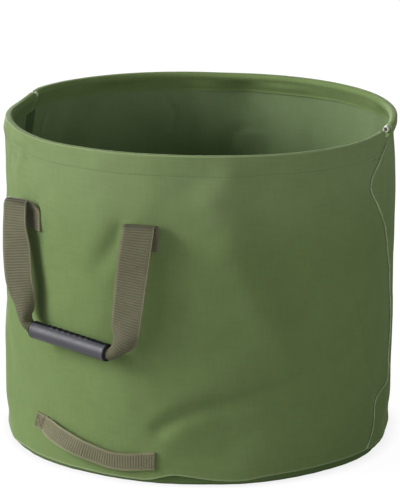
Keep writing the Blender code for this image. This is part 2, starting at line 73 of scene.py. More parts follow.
# Side seams: (height, azimuth) along each, from the foot to the rim
RIGHT_SEAM = (
    (0.000, 91.5), (0.016, 94.4), (0.030, 97.7), (0.043, 100.2), (0.058, 101.0), (0.068, 101.2),
    (0.075, 102.2), (0.081, 104.6), (0.087, 107.4), (0.094, 109.4), (0.106, 110.6), (0.120, 111.0),
    (0.132, 111.8), (0.143, 112.8), (0.157, 113.9), (0.185, 114.0), (0.217, 113.0), (0.241, 111.8),
    (0.265, 110.4), (0.296, 107.5), (0.327, 104.3), (0.342, 101.3), (0.357, 99.8), (0.3685, 98.4),
    (0.380, 97.3), (0.390, 96.8), (0.4015, 97.7), (0.412, 99.3), (0.424, 100.8), (0.436, 103.2),
    (0.4465, 106.9), (0.460, 109.0),
)
LEFT_SEAM = (
    (0.000, 284.0), (0.060, 285.0), (0.120, 283.5), (0.190, 281.5), (0.260, 282.5), (0.330, 284.5),
    (0.390, 283.5), (0.430, 281.0), (0.460, 280.0),
)
# Where the hem is open over the hoop: azimuth from and to, and the height of the canvas there
NOTCHES = ((103.6, 110.4, 0.4485), (279.35, 280.75, 0.4415))

# Height of the rim above its level place: (azimuth, rise)
RIM_WARP = (
    (-120, 0.0015), (-92, 0.0046), (-82, 0.0050), (-77, -0.0010), (-70, -0.0035), (-45, 0.0000),
    (-14, -0.0005), (0, 0.0015), (27, 0.0028), (44, 0.0020), (62, -0.0008), (84, -0.0036),
    (96, -0.0036), (108, -0.0020), (125, 0.0005), (150, 0.0018), (180, 0.0000), (210, -0.0020),
    (240, 0.0015),
)
RIM_WARP_HEIGHTS = (0.36, 0.452)  # the warp starts at the first and is full at the second
# Height of the wall's lower edge above the ground: (azimuth, height)
FOOT_EDGE = (
    (-75, 0.0055), (-50, 0.0036), (-36, 0.0042), (-30, 0.0064), (-24, 0.0080), (-14, 0.0070), (0, 0.0060),
    (11, 0.0050), (20, 0.0048), (22.8, 0.0060), (25, 0.0110), (28, 0.0150), (33, 0.0132), (39, 0.0082),
    (46, 0.0060), (51, 0.0070), (55, 0.0100), (62, 0.0108), (72, 0.0110), (90, 0.0112), (98, 0.0090),
    (110, 0.0055), (130, 0.0060), (160, 0.0085), (185, 0.0050), (215, 0.0070), (240, 0.0110),
    (262, 0.0060), (277, 0.0060),
)
FOOT_EDGE_TOP = 0.05  # the wall is level again above this

# Soft folds and hollows of the wall: azimuth, height, lean from upright in degrees,
# half length, half width and how far out (metres)
FOLDS = (
    # the lower left swell, where the canvas bears out over the base
    (-57, 0.075, 0, 0.125, 0.060, 0.0092),
    (-18, 0.070, 84, 0.060, 0.026, 0.0020),
    (-54, 0.160, 0, 0.034, 0.045, 0.0042),
    # under the rim at the left
    (-50, 0.447, 90, 0.030, 0.007, 0.0026),
    (-30, 0.408, -20, 0.040, 0.0160, 0.0024),
    # hollows beside the right tab, where the strap draws on the canvas
    (10.5, 0.332, 30, 0.032, 0.0110, -0.0060),
    (29.5, 0.312, -17, 0.040, 0.0150, -0.0036),
    (20, 0.404, -8, 0.032, 0.0220, 0.0014),
    (36, 0.255, -24, 0.060, 0.0240, -0.0026),
    # beside the left tab
    (-13, 0.318, -24, 0.034, 0.0140, -0.0026),
    (-34, 0.300, 14, 0.050, 0.0160, -0.0020),
    # right of the long fold
    (64, 0.300, -22, 0.080, 0.0260, -0.0030),
    (78, 0.350, -6, 0.070, 0.0240, 0.0036),
    (84, 0.210, 10, 0.070, 0.0280, 0.0026),
    # swells either side of the crease that rises to the right above the foot
    (50, 0.170, 66, 0.060, 0.0220, 0.0034),
    (46, 0.062, 4, 0.036, 0.0300, -0.0060),
    (26, 0.070, 8, 0.040, 0.0180, 0.0020),
    (36, 0.092, 74, 0.040, 0.0260, -0.0022),
    (14, 0.135, 40, 0.060, 0.0280, 0.0020),
    (40, 0.205, -20, 0.050, 0.0240, 0.0020),
    (80, 0.090, 75, 0.060, 0.0260, 0.0030),
    # along the right seam, which lies in a hollow high up and again low down
    (96.8, 0.384, 5, 0.028, 0.0100, -0.0062),
    (103.5, 0.388, 4, 0.034, 0.0080, 0.0020),
    (89, 0.378, 10, 0.046, 0.0140, 0.0026),
    (101.5, 0.070, 3, 0.024, 0.0080, -0.0042),
    (108, 0.062, 6, 0.030, 0.0070, 0.0030),
    # past the right seam, below the rim and down the edge that turns away
    (121, 0.4130, 90, 0.032, 0.0260, -0.0030),
    (121, 0.4290, 90, 0.034, 0.0120, -0.0056),
    (127, 0.385, 0, 0.035, 0.040, -0.0011),
    (127, 0.080, 0, 0.045, 0.040, -0.0010),
    # the foot bears out in places, and is drawn in past the right seam
    (48, 0.006, 90, 0.036, 0.0260, 0.0078),
    (76, 0.006, 90, 0.070, 0.0240, 0.0036),
    (90, 0.006, 90, 0.030, 0.0240, 0.0030),
    (4, 0.006, 90, 0.045, 0.0220, -0.0026),
    (-20, 0.006, 90, 0.055, 0.0220, 0.0066),
    (-34, 0.022, 90, 0.024, 0.0100, 0.0026),
    (-57, 0.050, 0, 0.020, 0.0400, 0.0018),
    (-58, 0.022, 90, 0.046, 0.0110, -0.0017),
    (128, 0.012, 90, 0.060, 0.0200, -0.0024),
    (114, 0.022, 90, 0.044, 0.0150, -0.0036),
    # the far side
    (140, 0.340, 18, 0.070, 0.0240, -0.0060),
    (152, 0.230, -20, 0.090, 0.0280, 0.0060),
    (168, 0.120, 72, 0.090, 0.0180, -0.0070),
    (172, 0.062, 88, 0.120, 0.0280, 0.0050),
    (184, 0.300, 8, 0.080, 0.0240, -0.0050),
    (214, 0.250, -26, 0.080, 0.0240, -0.0056),
    (222, 0.150, -64, 0.080, 0.0200, 0.0052),
    (236, 0.340, 22, 0.070, 0.0260, 0.0050),
    (238, 0.060, 80, 0.110, 0.0260, 0.0052),
    (250, 0.220, 6, 0.080, 0.0260, -0.0060),
    (266, 0.380, -24, 0.040, 0.0120, -0.0040),
    (270, 0.120, 58, 0.060, 0.0200, 0.0050),
    (294, 0.390, 20, 0.040, 0.0110, -0.0040),
    (300, 0.250, 14, 0.090, 0.0260, 0.0040),
    (310, 0.160, -40, 0.070, 0.0220, -0.0050),
)

# Sharp creases and ridges: width, how far out, and (azimuth, height) along each
CREASES = (
    # the long fold from the rim down the middle of the bag, and the hollow past it
    (0.026, 0.0056, ((45, 0.424), (40.5, 0.396), (45.5, 0.360), (44.5, 0.325), (53, 0.247), (61.5, 0.194),
                     (62.5, 0.165))),
    (0.024, -0.0028, ((57, 0.430), (53.5, 0.396), (58, 0.355), (59, 0.310), (66.5, 0.247), (75, 0.194))),
    # the crease that rises to the right above the foot
    (0.012, -0.0056, ((24.5, 0.078), (30, 0.096), (36.4, 0.108), (47.8, 0.118), (58.6, 0.130), (66, 0.143))),
    # beside the right seam
    (0.0034, -0.0034, ((88, 0.245), (91.4, 0.194), (92.9, 0.170), (95.4, 0.133), (98.5, 0.100))),
    (0.0050, 0.0016, ((86, 0.230), (90.2, 0.180), (93.8, 0.130), (96.4, 0.098))),
    # wrinkles under the rim at the left, and the edge of the wall that turns away there
    (0.0055, 0.0034, ((-43.5, 0.460), (-41.9, 0.457), (-38.5, 0.450), (-35.2, 0.4425), (-31.5, 0.426))),
    (0.0050, 0.0032, ((-31.8, 0.452), (-30.4, 0.4476), (-26, 0.4440), (-24.5, 0.4308))),
    (0.0080, 0.0020, ((-26.8, 0.428), (-29.3, 0.405))),
    (0.0120, 0.0020, ((-47, 0.440), (-47.5, 0.424), (-48, 0.403), (-47.5, 0.383), (-45, 0.358))),
    (0.0060, -0.0022, ((-37.2, 0.424), (-39.6, 0.403), (-39.3, 0.383), (-36.3, 0.362))),
    # the far side
    (0.0036, 0.0022, ((106, 0.405), (108.5, 0.390), (109, 0.372), (106, 0.348))),
    (0.0034, -0.0026, ((286, 0.250), (289, 0.200), (288, 0.140), (291, 0.095))),
    (0.0040, 0.0020, ((272, 0.420), (275, 0.395), (274, 0.360), (277, 0.330))),
    (0.0040, -0.0022, ((136, 0.150), (131, 0.120), (130, 0.085))),
    (0.0040, 0.0018, ((228, 0.420), (225, 0.396), (226, 0.372))),
    (0.024, 0.0065, ((204, 0.424), (201, 0.380), (207, 0.320), (205, 0.250), (213, 0.190))),
    (0.022, -0.0045, ((216, 0.424), (214, 0.370), (219, 0.310), (219, 0.240))),
    (0.012, -0.0065, ((170, 0.096), (180, 0.118), (194, 0.128), (207, 0.150))),
    (0.020, 0.0055, ((143, 0.430), (148, 0.370), (146, 0.300), (152, 0.230))),
    (0.022, 0.0050, ((252, 0.400), (256, 0.330), (254, 0.260), (259, 0.180))),
)

# Short pulls in the canvas either side of both seams, drawn at random from these ranges
PUCKER_HEIGHTS = (0.035, 0.425)
PUCKER_SPACING = (0.011, 0.022)
PUCKER_TURN = (1.6, 4.2)  # degrees from the seam
PUCKER_LEAN = (48, 82)
PUCKER_LENGTH = (0.008, 0.020)
PUCKER_WIDTH = (0.0030, 0.0055)
PUCKER_OUT = (-0.0014, 0.0014)

# Small uneven swells all over the wall: how far out, waves round the bag, their drift with height and
# phase, then waves up the wall, their drift round the bag and phase
RIPPLES = (
    (0.0010, 3, 6, 1.3, 11, 0, 0.6),
    (0.0007, 7, -14, 0.4, 17, 2, 0.0),
    (0.0004, 16, 21, 2.0, 33, -5, 0.0),
    (0.00022, 37, -48, 0.0, 71, 9, 1.0),
)

# What holds the canvas still. A pair is where the hold starts to change and where the change is full.
SEAM_GROOVE = (0.0008, 0.0016)  # depth and width of the line along which the panels are sewn
STITCH_GROOVE = (0.00015, 0.0015)  # the same along the hem's stitches
TAB_FLAT = (0.022, 0.036)  # distance from a tab's middle
TAB_FLAT_SHAPE = (0.95, 1.15)  # the flat place is a little wider than it is high
HANDLE_SIDE = (20, 34)  # degrees from a handle's middle
HANDLE_LOW = (0.14, 0.17)
HANDLE_HIGH = (0.37, 0.41)
HANDLE_ROOM = 0.0016  # the wall swells no further than this behind a handle
HOOP_HOLD = (0.4440, 0.4505)
RIM_HOLD = (0.450, 0.460)
BASE_HOLD = 0.040  # the base holds the wall up to this height
DRAWN_IN = (119, 15)  # azimuth and spread, in degrees, of the place where the base is drawn in too

# Hoop
HOOP_HEIGHT = 0.4545
HOOP_RING = 0.26964
HOOP_RADIUS = 0.004
HOOP_WALL = 0.0011
HOOP_ENDS = (108.6, 461.5)  # azimuths, round the back, of the end that shows and the end inside the hem
HOOP_SPRING = (9, 0.0022, 0.0012)  # the end that shows has sprung, over these degrees, inward and up
CHANNEL = 0.0049  # from the hoop's middle to the middle of the canvas over it
CHANNEL_START = 202  # degrees round the hoop at which the hem's inner layer meets it
RIM_CORNER = 0.0015  # how sharply the canvas turns at the rim's outer edge
NOTCH_FOLD = 0.0010  # the same where the hem is open
NOTCH_SOFTNESS = 0.10  # share of the opening over which the hem closes again

# Base and inner tapes
BASE_RADIUS = 0.2695
BASE_CORNER = 0.0050
BASE_UPTURN = 0.022
# Where the base is tucked in behind the wall's raised edge: azimuth, height, their spreads, and how far in
BASE_TUCK = (29, 0.010, 6, 0.006, 0.0050)
TAPE = 0.0010
TAPE_WIDTH = 0.024
BINDING_LOW = 0.012

# Side seams
SEAM_FOLD_LOW = 0.0125
SEAM_FOLD_WIDTH = (0.0015, 0.0002)  # half width of the folded seam, and how much it varies
SEAM_FOLD_HEIGHT = (0.0022, 0.0003)
SEAM_FOLD_SHIFT = -0.0012  # the fold lies on the front panel's side of the seam at the right
SEAM_FOLD_SIDES = 12

# Sewing
THREAD_OUT = 0.18  # how far a stitch's middle lies out from the canvas, in thicknesses of its thread
HEM_ROW_ENDS = (0.9, 1.0)  # degrees from the seams to the start and end of the hem's stitches
SEAM_ROW_TURN = -1.05  # degrees from a seam to the stitches beside its fold
SEAM_ROW_LOW = 0.014
SEAM_ROW_STOP = 0.006  # below the opening in the hem
TAPE_ROW_TURN = 1.9  # degrees from a seam to the stitches at each edge of its tape
TAPE_ROW_HEIGHTS = (0.040, 0.430)
BINDING_ROWS = (BINDING_LOW + 0.003, BASE_UPTURN - 0.002)
HEM_TACKS = ((96.5, 0.427), (99.9, 0.426), (283.6, 0.427))  # azimuth and height of each tack's start
TACK_STITCHES = 15
TACK_STEP = 0.10  # degrees
TACK_HALF = 0.0013

# How pale the canvas is drawn, as a share of the way to its worn and lit colour
# A painted highlight along the rim's outer edge
RIM_PAINTED_HIGHLIGHT = 0.44
FOOT_WEAR = 0.36
# Rubbed pale beside the seams, with a painted highlight
SEAM_WEAR_AND_HIGHLIGHT = 0.15
# Painted light: paler towards the rim, where light shows through the canvas
PAINTED_TOP_LIGHT = 0.11
PAINTED_TOP_LIGHT_HEIGHTS = (0.30, 0.42)

# Carry handle
WEBBING = 0.0018
WEBBING_WIDTH = 0.045
WEBBING_SEAT = 0.0005
SELVEDGE = 0.0024
SELVEDGE_STEP = 0.0003
TAB_STITCH_INSET = (0.005, 0.0040)  # from the tab's edges, and from its fold
TAB_AZIMUTHS = {-1: 21.1, 1: 20.3}  # by side, left and right
TAB_LENGTH = 0.0385
FOLD_HEIGHT = 0.3685  # of the hinge
FOLD_DEPTH = 0.017  # from the tab out to the hanging strap
FOLD_LEAN = 0.55  # how far the crest of the fold is pushed out from the wall, in radians of its turn
FOLD_START = 0.0005  # from the top of the tab, and of the hanging strap, to the fold
# By side, left and right: where the fold starts below the hinge, how high it rises, how far the hanging
# strap lies to the right of its tab, and its tilt in degrees
FOLDS_OVER = {-1: (0.013, 0.0148, -0.0148, 6.0), 1: (0.006, 0.0050, -0.0010, 1.0)}
GRIP_DROP = 0.1756  # below the hinge
GRIP_STANDOFF = 0.0163
GRIP_SHIFT = -0.0056
GRIP_TILT = 4.4  # degrees down to the right
GRIP_LENGTH = 0.130
GRIP_RADIUS = 0.0104
GRIP_WALL = 0.0016
GRIP_TURN = -10.0  # degrees about its own length
GRIP_EDGE = 0.00025  # width of its bevelled edges
TOOTH_PITCH = 0.010
TOOTH_HEIGHT = 0.0026
TOOTH_REACH = 0.0405  # the edges are plain past this distance from the grip's middle
TOOTH_PROUD = 0.0009
HALVES_GAP = 0.00022  # from the middle plane to each half's edge
GRIP_LIP = 0.0009  # radius of the rounded rim at each end of the grip
GRIP_BEAD = (0.0030, 0.0016, 0.00045)  # the raised bead's distance from the end, width and height
CURL_ROOM = 0.00035
CURL = GRIP_RADIUS - GRIP_WALL - CURL_ROOM - WEBBING / 2  # radius of the webbing rolled inside the grip
LEG_ROWS = 150
CURLED_ROWS = 29  # inside the grip
FOLD_TILT_END = 0.16  # share of its length in which a hanging strap loses its fold's tilt
# Each hanging strap from its fold to the grip: share of the way down, bow as a share of the drop,
# the way it faces in degrees, and how far it is rolled up
LEFT_LEG = (
    (0.0, 0.0, -8.0, 0.0), (0.150, 0.031, -2.0, 0.0), (0.315, 0.045, 6.0, 0.0), (0.476, 0.0635, 7.0, 0.0),
    (0.600, 0.0770, 5.0, 0.03), (0.700, 0.0840, 3.0, 0.16), (0.785, 0.0890, 1.0, 0.34),
    (0.850, 0.0900, 0.0, 0.55), (0.910, 0.0820, 0.0, 0.85), (0.955, 0.0560, 0.0, 1.0),
    (0.990, 0.0180, 0.0, 1.0),
)
RIGHT_LEG = (
    (0.0, 0.0, 18.0, 0.0), (0.140, 0.0130, 19.0, 0.0), (0.281, 0.0300, 19.0, 0.0), (0.421, 0.0500, 16.0, 0.0),
    (0.562, 0.0720, 12.0, 0.0), (0.702, 0.0900, 8.0, 0.03), (0.810, 0.0980, 5.0, 0.14),
    (0.905, 0.0900, 2.0, 0.46), (0.965, 0.0680, 1.0, 0.84), (0.998, 0.0350, 0.0, 1.0),
)
# How far each strap is pinched in just above the grip, and the shares of its drop between which it is
PINCHES = {-1: 0.50, 1: 0.0}
PINCH_FROM = (0.89, 0.955)
PINCH_TO = (0.965, 0.998)

# Each strap bends along a line out from the wall: its azimuth from the handle's middle, and how far it
# falls for each metre out
BENDS = {"left": (14.5, 0.08), "right": (14.5, 0.12)}
LEAST_BEND = 0.002

# Tip strap: the middle line's azimuth and height, left to right
TIP_WEBBING = 0.0016
TIP_WIDTH = 0.025
TIP_SLACK = 0.0055
TIP_FOLD_GAP = 0.0005
TIP_END_LENGTH = 0.020
TIP_END_TURN = math.degrees(TIP_END_LENGTH / FOOT_RADIUS)
TIP_STITCH_INSET = (0.0028, 0.0030)  # from the end's fold and from its selvedges
TIP_LINE = (
    (-19.0, 0.0577), (-14.9, 0.0563), (-11.3, 0.0544), (-7.6, 0.0502), (-3.4, 0.0452), (0.7, 0.0400),
    (6.3, 0.0337), (9.8, 0.0304), (13.3, 0.0292), (17.8, 0.0309), (23.2, 0.0342),
)
# The lower edge of the slack strap stands off: degrees of twist, and the azimuths over which it comes
# and goes
TIP_TWIST = 24.0
TIP_TWIST_FROM = (-15.4, -8.4)
TIP_TWIST_TO = (-4, 8)
# How far each end leans over from square, in degrees, by side
TIP_LEAN = {-1: 20.0, 1: 9.0}
STITCH_LIFT = 0.0002  # from the webbing's ribs to the middle of the box stitches' thread

# Lamps: name, bearing from the camera, elevation and spread in degrees, strength
LAMPS = (
    ("left_softbox", -85, 29, 30, 2.86),
    ("left_fill", -60, 10, 30, 0.73),
    ("right_fill", 30, 10, 30, 0.85),
    ("back_rim", -168, 7, 12, 2.4),
)
WORLD_LIGHT = 0.064
FLOOR_BOUNCE = 0.42  # how much of the light on the floor comes back up to the bag
FLOOR_REACH = 12.0
FLOOR_DROP = 0.0003

# The photograph's camera
CAMERA_AZIMUTH = 36.83
CAMERA_DISTANCE = 4.300
CAMERA_HEIGHT = 1.442
CAMERA_PITCH = 15.28
CAMERA_LENS = 231.2
CAMERA_SHIFT = -0.0029


def linear(code):
    """A colour written as sRGB hex, in linear light."""
    parts = [int(code[i:i + 2], 16) / 255 for i in (1, 3, 5)]
    return tuple(p / 12.92 if p <= 0.04045 else ((p + 0.055) / 1.055) ** 2.4 for p in parts) + (1.0,)


class BagSizes(bpy.types.PropertyGroup):
    canvas: bpy.props.FloatProperty(
        name="Canvas", description="Thickness of the canvas", default=0.0012, unit="LENGTH")
    fold_strength: bpy.props.FloatProperty(
        name="Folds", description="Strength of the soft folds in the wall", default=1.0, subtype="FACTOR")
    rib_pitch: bpy.props.FloatProperty(
        name="Rib pitch", description="From one rib of the webbing to the next", default=0.0038,
        unit="LENGTH")
    rib_height: bpy.props.FloatProperty(
        name="Rib height", description="Height of the webbing's ribs", default=0.00035, unit="LENGTH")
    stitch_length: bpy.props.FloatProperty(
        name="Stitch", description="Length of one stitch", default=0.0034, unit="LENGTH")
    stitch_gap: bpy.props.FloatProperty(
        name="Stitch gap", description="From one stitch to the next", default=0.0012, unit="LENGTH")
    thread: bpy.props.FloatProperty(
        name="Thread", description="Thickness of the sewing thread", default=0.0007, unit="LENGTH")


class BagColours(bpy.types.PropertyGroup):
    canvas: bpy.props.FloatVectorProperty(
        name="Canvas", description="Outer face of the canvas", size=4, subtype="COLOR",
        default=linear("#758a56"))
    # Also the colour towards which painted highlights and painted light on the canvas go
    worn_and_lit: bpy.props.FloatVectorProperty(
        name="Worn canvas", description="Canvas rubbed pale along its edges", size=4, subtype="COLOR",
        default=linear("#c3d2a8"))
    lining: bpy.props.FloatVectorProperty(
        name="Coating", description="Coated inner face of the canvas", size=4, subtype="COLOR",
        default=linear("#64794f"))
    tape: bpy.props.FloatVectorProperty(
        name="Tape", description="Binding tape inside the bag", size=4, subtype="COLOR",
        default=linear("#4a5b3a"))
    webbing: bpy.props.FloatVectorProperty(
        name="Webbing", description="Carry and tip strap webbing", size=4, subtype="COLOR",
        default=linear("#6b6952"))
    grip: bpy.props.FloatVectorProperty(
        name="Grip", description="Moulded plastic of the grips", size=4, subtype="COLOR",
        default=linear("#2e2e36"))
    hoop: bpy.props.FloatVectorProperty(
        name="Hoop", description="Plastic tube in the rim", size=4, subtype="COLOR",
        default=linear("#ecebe6"))
    thread: bpy.props.FloatVectorProperty(
        name="Thread", description="Sewing thread on the canvas", size=4, subtype="COLOR",
        default=linear("#63774c"))
    webbing_thread: bpy.props.FloatVectorProperty(
        name="Webbing thread", description="Sewing thread on the webbing", size=4, subtype="COLOR",
        default=linear("#6a624c"))
    tack_thread: bpy.props.FloatVectorProperty(
        name="Tack thread", description="Sewing thread of the hem's tacks", size=4, subtype="COLOR",
        default=linear("#2a3a20"))
    # Darker than the canvas: painted shade for the base under the wall's lower edge
    base: bpy.props.FloatVectorProperty(
        name="Base", description="Canvas of the base", size=4, subtype="COLOR",
        default=linear("#5b7044"))


# Node trees


def add_node(tree, kind, inputs=None, **settings):
    """Adds a node, sets its properties, and sets or links its inputs by name or number."""
    node = tree.nodes.new(kind)
    for name, value in settings.items():
        setattr(node, name, value)
    for key, value in (inputs or {}).items():
        socket = node.inputs[key]
        if isinstance(value, bpy.types.NodeSocket):
            tree.links.new(value, socket)
        else:
            socket.default_value = value
    return node


def wave_scale(period):
    """The Wave texture's scale for bands that repeat at this distance in metres."""
    return 2 * math.pi / 20 / period


def new_material(name):
    material = bpy.data.materials.new(name)
    material.use_nodes = True
    tree = material.node_tree
    return material, tree, tree.nodes["Principled BSDF"]


def geometry_tree(name, inputs):
    """An empty geometry tree with named inputs, given as (name, kind of socket)."""
    tree = bpy.data.node_groups.new(name, "GeometryNodeTree")
    tree.interface.new_socket("Geometry", in_out="OUTPUT", socket_type="NodeSocketGeometry")
    tree.interface.new_socket("Geometry", in_out="INPUT", socket_type="NodeSocketGeometry")
    for label, kind in inputs:
        tree.interface.new_socket(label, in_out="INPUT", socket_type=kind)
    return tree, tree.nodes.new("NodeGroupInput").outputs


def stitch_tree():
    """Stitches set end to end along the edges of a mesh."""
    tree = bpy.data.node_groups.get("Stitch run")
    if tree:
        return tree
    tree, given = geometry_tree("Stitch run", (
        ("Stitch length", "NodeSocketFloat"), ("Gap", "NodeSocketFloat"), ("Thread", "NodeSocketFloat"),
        ("Material", "NodeSocketMaterial")))
    pitch = add_node(tree, "ShaderNodeMath", {0: given["Stitch length"], 1: given["Gap"]}, operation="ADD")
    curve = add_node(tree, "GeometryNodeMeshToCurve", {"Mesh": given["Geometry"]})
    spaced = add_node(tree, "GeometryNodeResampleCurve", {
        "Curve": curve.outputs[0], "Length": pitch.outputs[0]}, mode="LENGTH")
    tangent = add_node(tree, "GeometryNodeInputTangent")
    turned = add_node(tree, "FunctionNodeAlignRotationToVector", {"Vector": tangent.outputs[0]}, axis="X")
    size = add_node(tree, "ShaderNodeCombineXYZ", {
        0: given["Stitch length"], 1: given["Thread"], 2: given["Thread"]})
    half = add_node(tree, "ShaderNodeVectorMath", {0: size.outputs[0], 1: (0.5, 0.5, 0.5)},
                    operation="MULTIPLY")
    stitch = add_node(tree, "GeometryNodeMeshUVSphere", {"Segments": 6, "Rings": 5, "Radius": 1.0})
    placed = add_node(tree, "GeometryNodeInstanceOnPoints", {
        "Points": spaced.outputs[0], "Instance": stitch.outputs[0], "Rotation": turned.outputs[0],
        "Scale": half.outputs[0]})
    real = add_node(tree, "GeometryNodeRealizeInstances", {0: placed.outputs[0]})
    painted = add_node(tree, "GeometryNodeSetMaterial", {
        "Geometry": real.outputs[0], "Material": given["Material"]})
    add_node(tree, "NodeGroupOutput", {0: painted.outputs[0]})
    return tree


def rib_tree():
    """The relief of woven webbing: ribs across it, flat at both selvedges."""
    tree = bpy.data.node_groups.get("Webbing ribs")
    if tree:
        return tree
    tree, given = geometry_tree("Webbing ribs", (
        ("Rib pitch", "NodeSocketFloat"), ("Rib height", "NodeSocketFloat"), ("Width", "NodeSocketFloat"),
        ("Selvedge", "NodeSocketFloat"), ("Material", "NodeSocketMaterial")))
    along = add_node(tree, "GeometryNodeInputNamedAttribute", {"Name": "along"}, data_type="FLOAT")
    across = add_node(tree, "GeometryNodeInputNamedAttribute", {"Name": "across"}, data_type="FLOAT")
    turn = add_node(tree, "ShaderNodeMath", {0: along.outputs[0], 1: given["Rib pitch"]}, operation="DIVIDE")
    angle = add_node(tree, "ShaderNodeMath", {0: turn.outputs[0], 1: math.pi}, operation="MULTIPLY")
    wave = add_node(tree, "ShaderNodeMath", {0: angle.outputs[0]}, operation="SINE")
    rib = add_node(tree, "ShaderNodeMath", {0: wave.outputs[0]}, operation="ABSOLUTE")
    from_middle = add_node(tree, "ShaderNodeMath", {0: across.outputs[0]}, operation="ABSOLUTE")
    half = add_node(tree, "ShaderNodeMath", {0: given["Width"], 1: 2.0}, operation="DIVIDE")
    ribbed = add_node(tree, "ShaderNodeMath", {0: half.outputs[0], 1: given["Selvedge"]},
                      operation="SUBTRACT")
    body = add_node(tree, "ShaderNodeMath", {0: from_middle.outputs[0], 1: ribbed.outputs[0]},
                    operation="LESS_THAN")
    high = add_node(tree, "ShaderNodeMath", {0: rib.outputs[0], 1: given["Rib height"]}, operation="MULTIPLY")
    shown = add_node(tree, "ShaderNodeMath", {0: high.outputs[0], 1: body.outputs[0]}, operation="MULTIPLY")
    plain = add_node(tree, "ShaderNodeMath", {0: 1.0, 1: body.outputs[0]}, operation="SUBTRACT")
    # Kept as the attribute rib: 0 in the grooves between ribs, where the finish paints shade, and 1 on the
    # selvedges.
    shade = add_node(tree, "ShaderNodeMath", {0: rib.outputs[0], 1: plain.outputs[0]}, operation="MAXIMUM")
    normal = add_node(tree, "GeometryNodeInputNormal")
    offset = add_node(tree, "ShaderNodeVectorMath", {0: normal.outputs[0], "Scale": shown.outputs[0]},
                      operation="SCALE")
    kept = add_node(tree, "GeometryNodeStoreNamedAttribute", {
        "Geometry": given["Geometry"], "Name": "rib", "Value": shade.outputs[0]},
        data_type="FLOAT", domain="POINT")
    moved = add_node(tree, "GeometryNodeSetPosition", {
        "Geometry": kept.outputs[0], "Offset": offset.outputs[0]})
    real = add_node(tree, "GeometryNodeRealizeInstances", {0: moved.outputs[0]})
    painted = add_node(tree, "GeometryNodeSetMaterial", {
        "Geometry": real.outputs[0], "Material": given["Material"]})
    add_node(tree, "NodeGroupOutput", {0: painted.outputs[0]})
    return tree


def tube_tree():
    """A round tube's outer skin along the edges of a mesh."""
    tree = bpy.data.node_groups.get("Tube skin")
    if tree:
        return tree
    tree, given = geometry_tree("Tube skin", (
        ("Radius", "NodeSocketFloat"), ("Sides", "NodeSocketInt"), ("Material", "NodeSocketMaterial")))
    curve = add_node(tree, "GeometryNodeMeshToCurve", {"Mesh": given["Geometry"]})
    ring = add_node(tree, "GeometryNodeCurvePrimitiveCircle", {
        "Resolution": given["Sides"], "Radius": given["Radius"]})
    skin = add_node(tree, "GeometryNodeCurveToMesh", {
        "Curve": curve.outputs[0], "Profile Curve": ring.outputs[0], "Fill Caps": False})
    real = add_node(tree, "GeometryNodeRealizeInstances", {0: skin.outputs[0]})
    painted = add_node(tree, "GeometryNodeSetMaterial", {
        "Geometry": real.outputs[0], "Material": given["Material"]})
    add_node(tree, "NodeGroupOutput", {0: painted.outputs[0]})
    return tree


def add_tree(item, tree, values):
    """Adds a geometry tree to an object, with its inputs set by name."""
    modifier = item.modifiers.new(tree.name, "NODES")
    modifier.node_group = tree
    names = {s.name: s.identifier for s in tree.interface.items_tree if s.in_out == "INPUT"}
    for name, value in values.items():
        modifier[names[name]] = value


# Finishes


def canvas_finish(name, colour, worn_and_lit, roughness, sheen):
    """A plain weave of heavy yarn on the piece's own UV map, which is in metres."""
    material, tree, shader = new_material(name)
    uv = add_node(tree, "ShaderNodeUVMap", uv_map="UVMap").outputs[0]
    # The real yarns lie about 0.6 mm apart, too fine to show, so they are drawn at 2.4 mm.
    warp, weft = (add_node(tree, "ShaderNodeTexWave", {
        "Vector": uv, "Scale": wave_scale(0.0024), "Distortion": 0.6, "Detail": 1.0},
        bands_direction=direction) for direction in ("X", "Y"))
    weave = add_node(tree, "ShaderNodeMath", {0: warp.outputs["Fac"], 1: weft.outputs["Fac"]},
                     operation="ADD")
    # Slubs are thick stretches of a yarn, about 30 mm long and 2.4 mm across, along both sets of yarns.
    slubs = []
    for scale in ((30.0, 420.0, 1.0), (420.0, 30.0, 1.0)):
        drawn = add_node(tree, "ShaderNodeMapping", {"Vector": uv, "Scale": scale})
        slubs.append(add_node(tree, "ShaderNodeTexNoise", {
            "Vector": drawn.outputs[0], "Scale": 1.0, "Detail": 3.0}).outputs["Fac"])
    yarns = add_node(tree, "ShaderNodeMath", {0: slubs[0], 1: slubs[1]}, operation="ADD")
    cloud = add_node(tree, "ShaderNodeTexNoise", {
        "Vector": uv, "Scale": 22.0, "Detail": 4.0, "Roughness": 0.6})
    tone = add_node(tree, "ShaderNodeMath", {0: yarns.outputs[0], 1: cloud.outputs["Fac"]}, operation="ADD")
    level = add_node(tree, "ShaderNodeMapRange", {
        "Value": tone.outputs[0], "From Min": 1.1, "From Max": 1.9, "To Min": 0.92, "To Max": 1.07})
    tinted = add_node(tree, "ShaderNodeHueSaturation", {"Color": colour, "Value": level.outputs[0]})
    # The attribute carries real wear and also painted highlight and light; the colour goes towards the worn
    # and lit colour by it.
    wear_and_light_attribute = add_node(tree, "ShaderNodeAttribute", attribute_name="wear_and_painted_light")
    wear_and_light_share = add_node(tree, "ShaderNodeMath", {0: wear_and_light_attribute.outputs["Fac"], 1: level.outputs[0]},
                          operation="MULTIPLY")
    worn_and_lit_mix = add_node(tree, "ShaderNodeMix", {0: wear_and_light_share.outputs[0], 6: tinted.outputs[0], 7: worn_and_lit},
                        data_type="RGBA")
    relief = add_node(tree, "ShaderNodeMath", {0: yarns.outputs[0], 1: weave.outputs[0]}, operation="ADD")
    bump = add_node(tree, "ShaderNodeBump", {
        "Height": relief.outputs[0], "Strength": 0.15, "Distance": 0.0006})
    tree.links.new(worn_and_lit_mix.outputs[2], shader.inputs["Base Color"])
    tree.links.new(bump.outputs[0], shader.inputs["Normal"])
    shader.inputs["Roughness"].default_value = roughness
    shader.inputs["Specular IOR Level"].default_value = 0.12
    shader.inputs["Sheen Weight"].default_value = sheen
    shader.inputs["Sheen Roughness"].default_value = 0.6
    return material


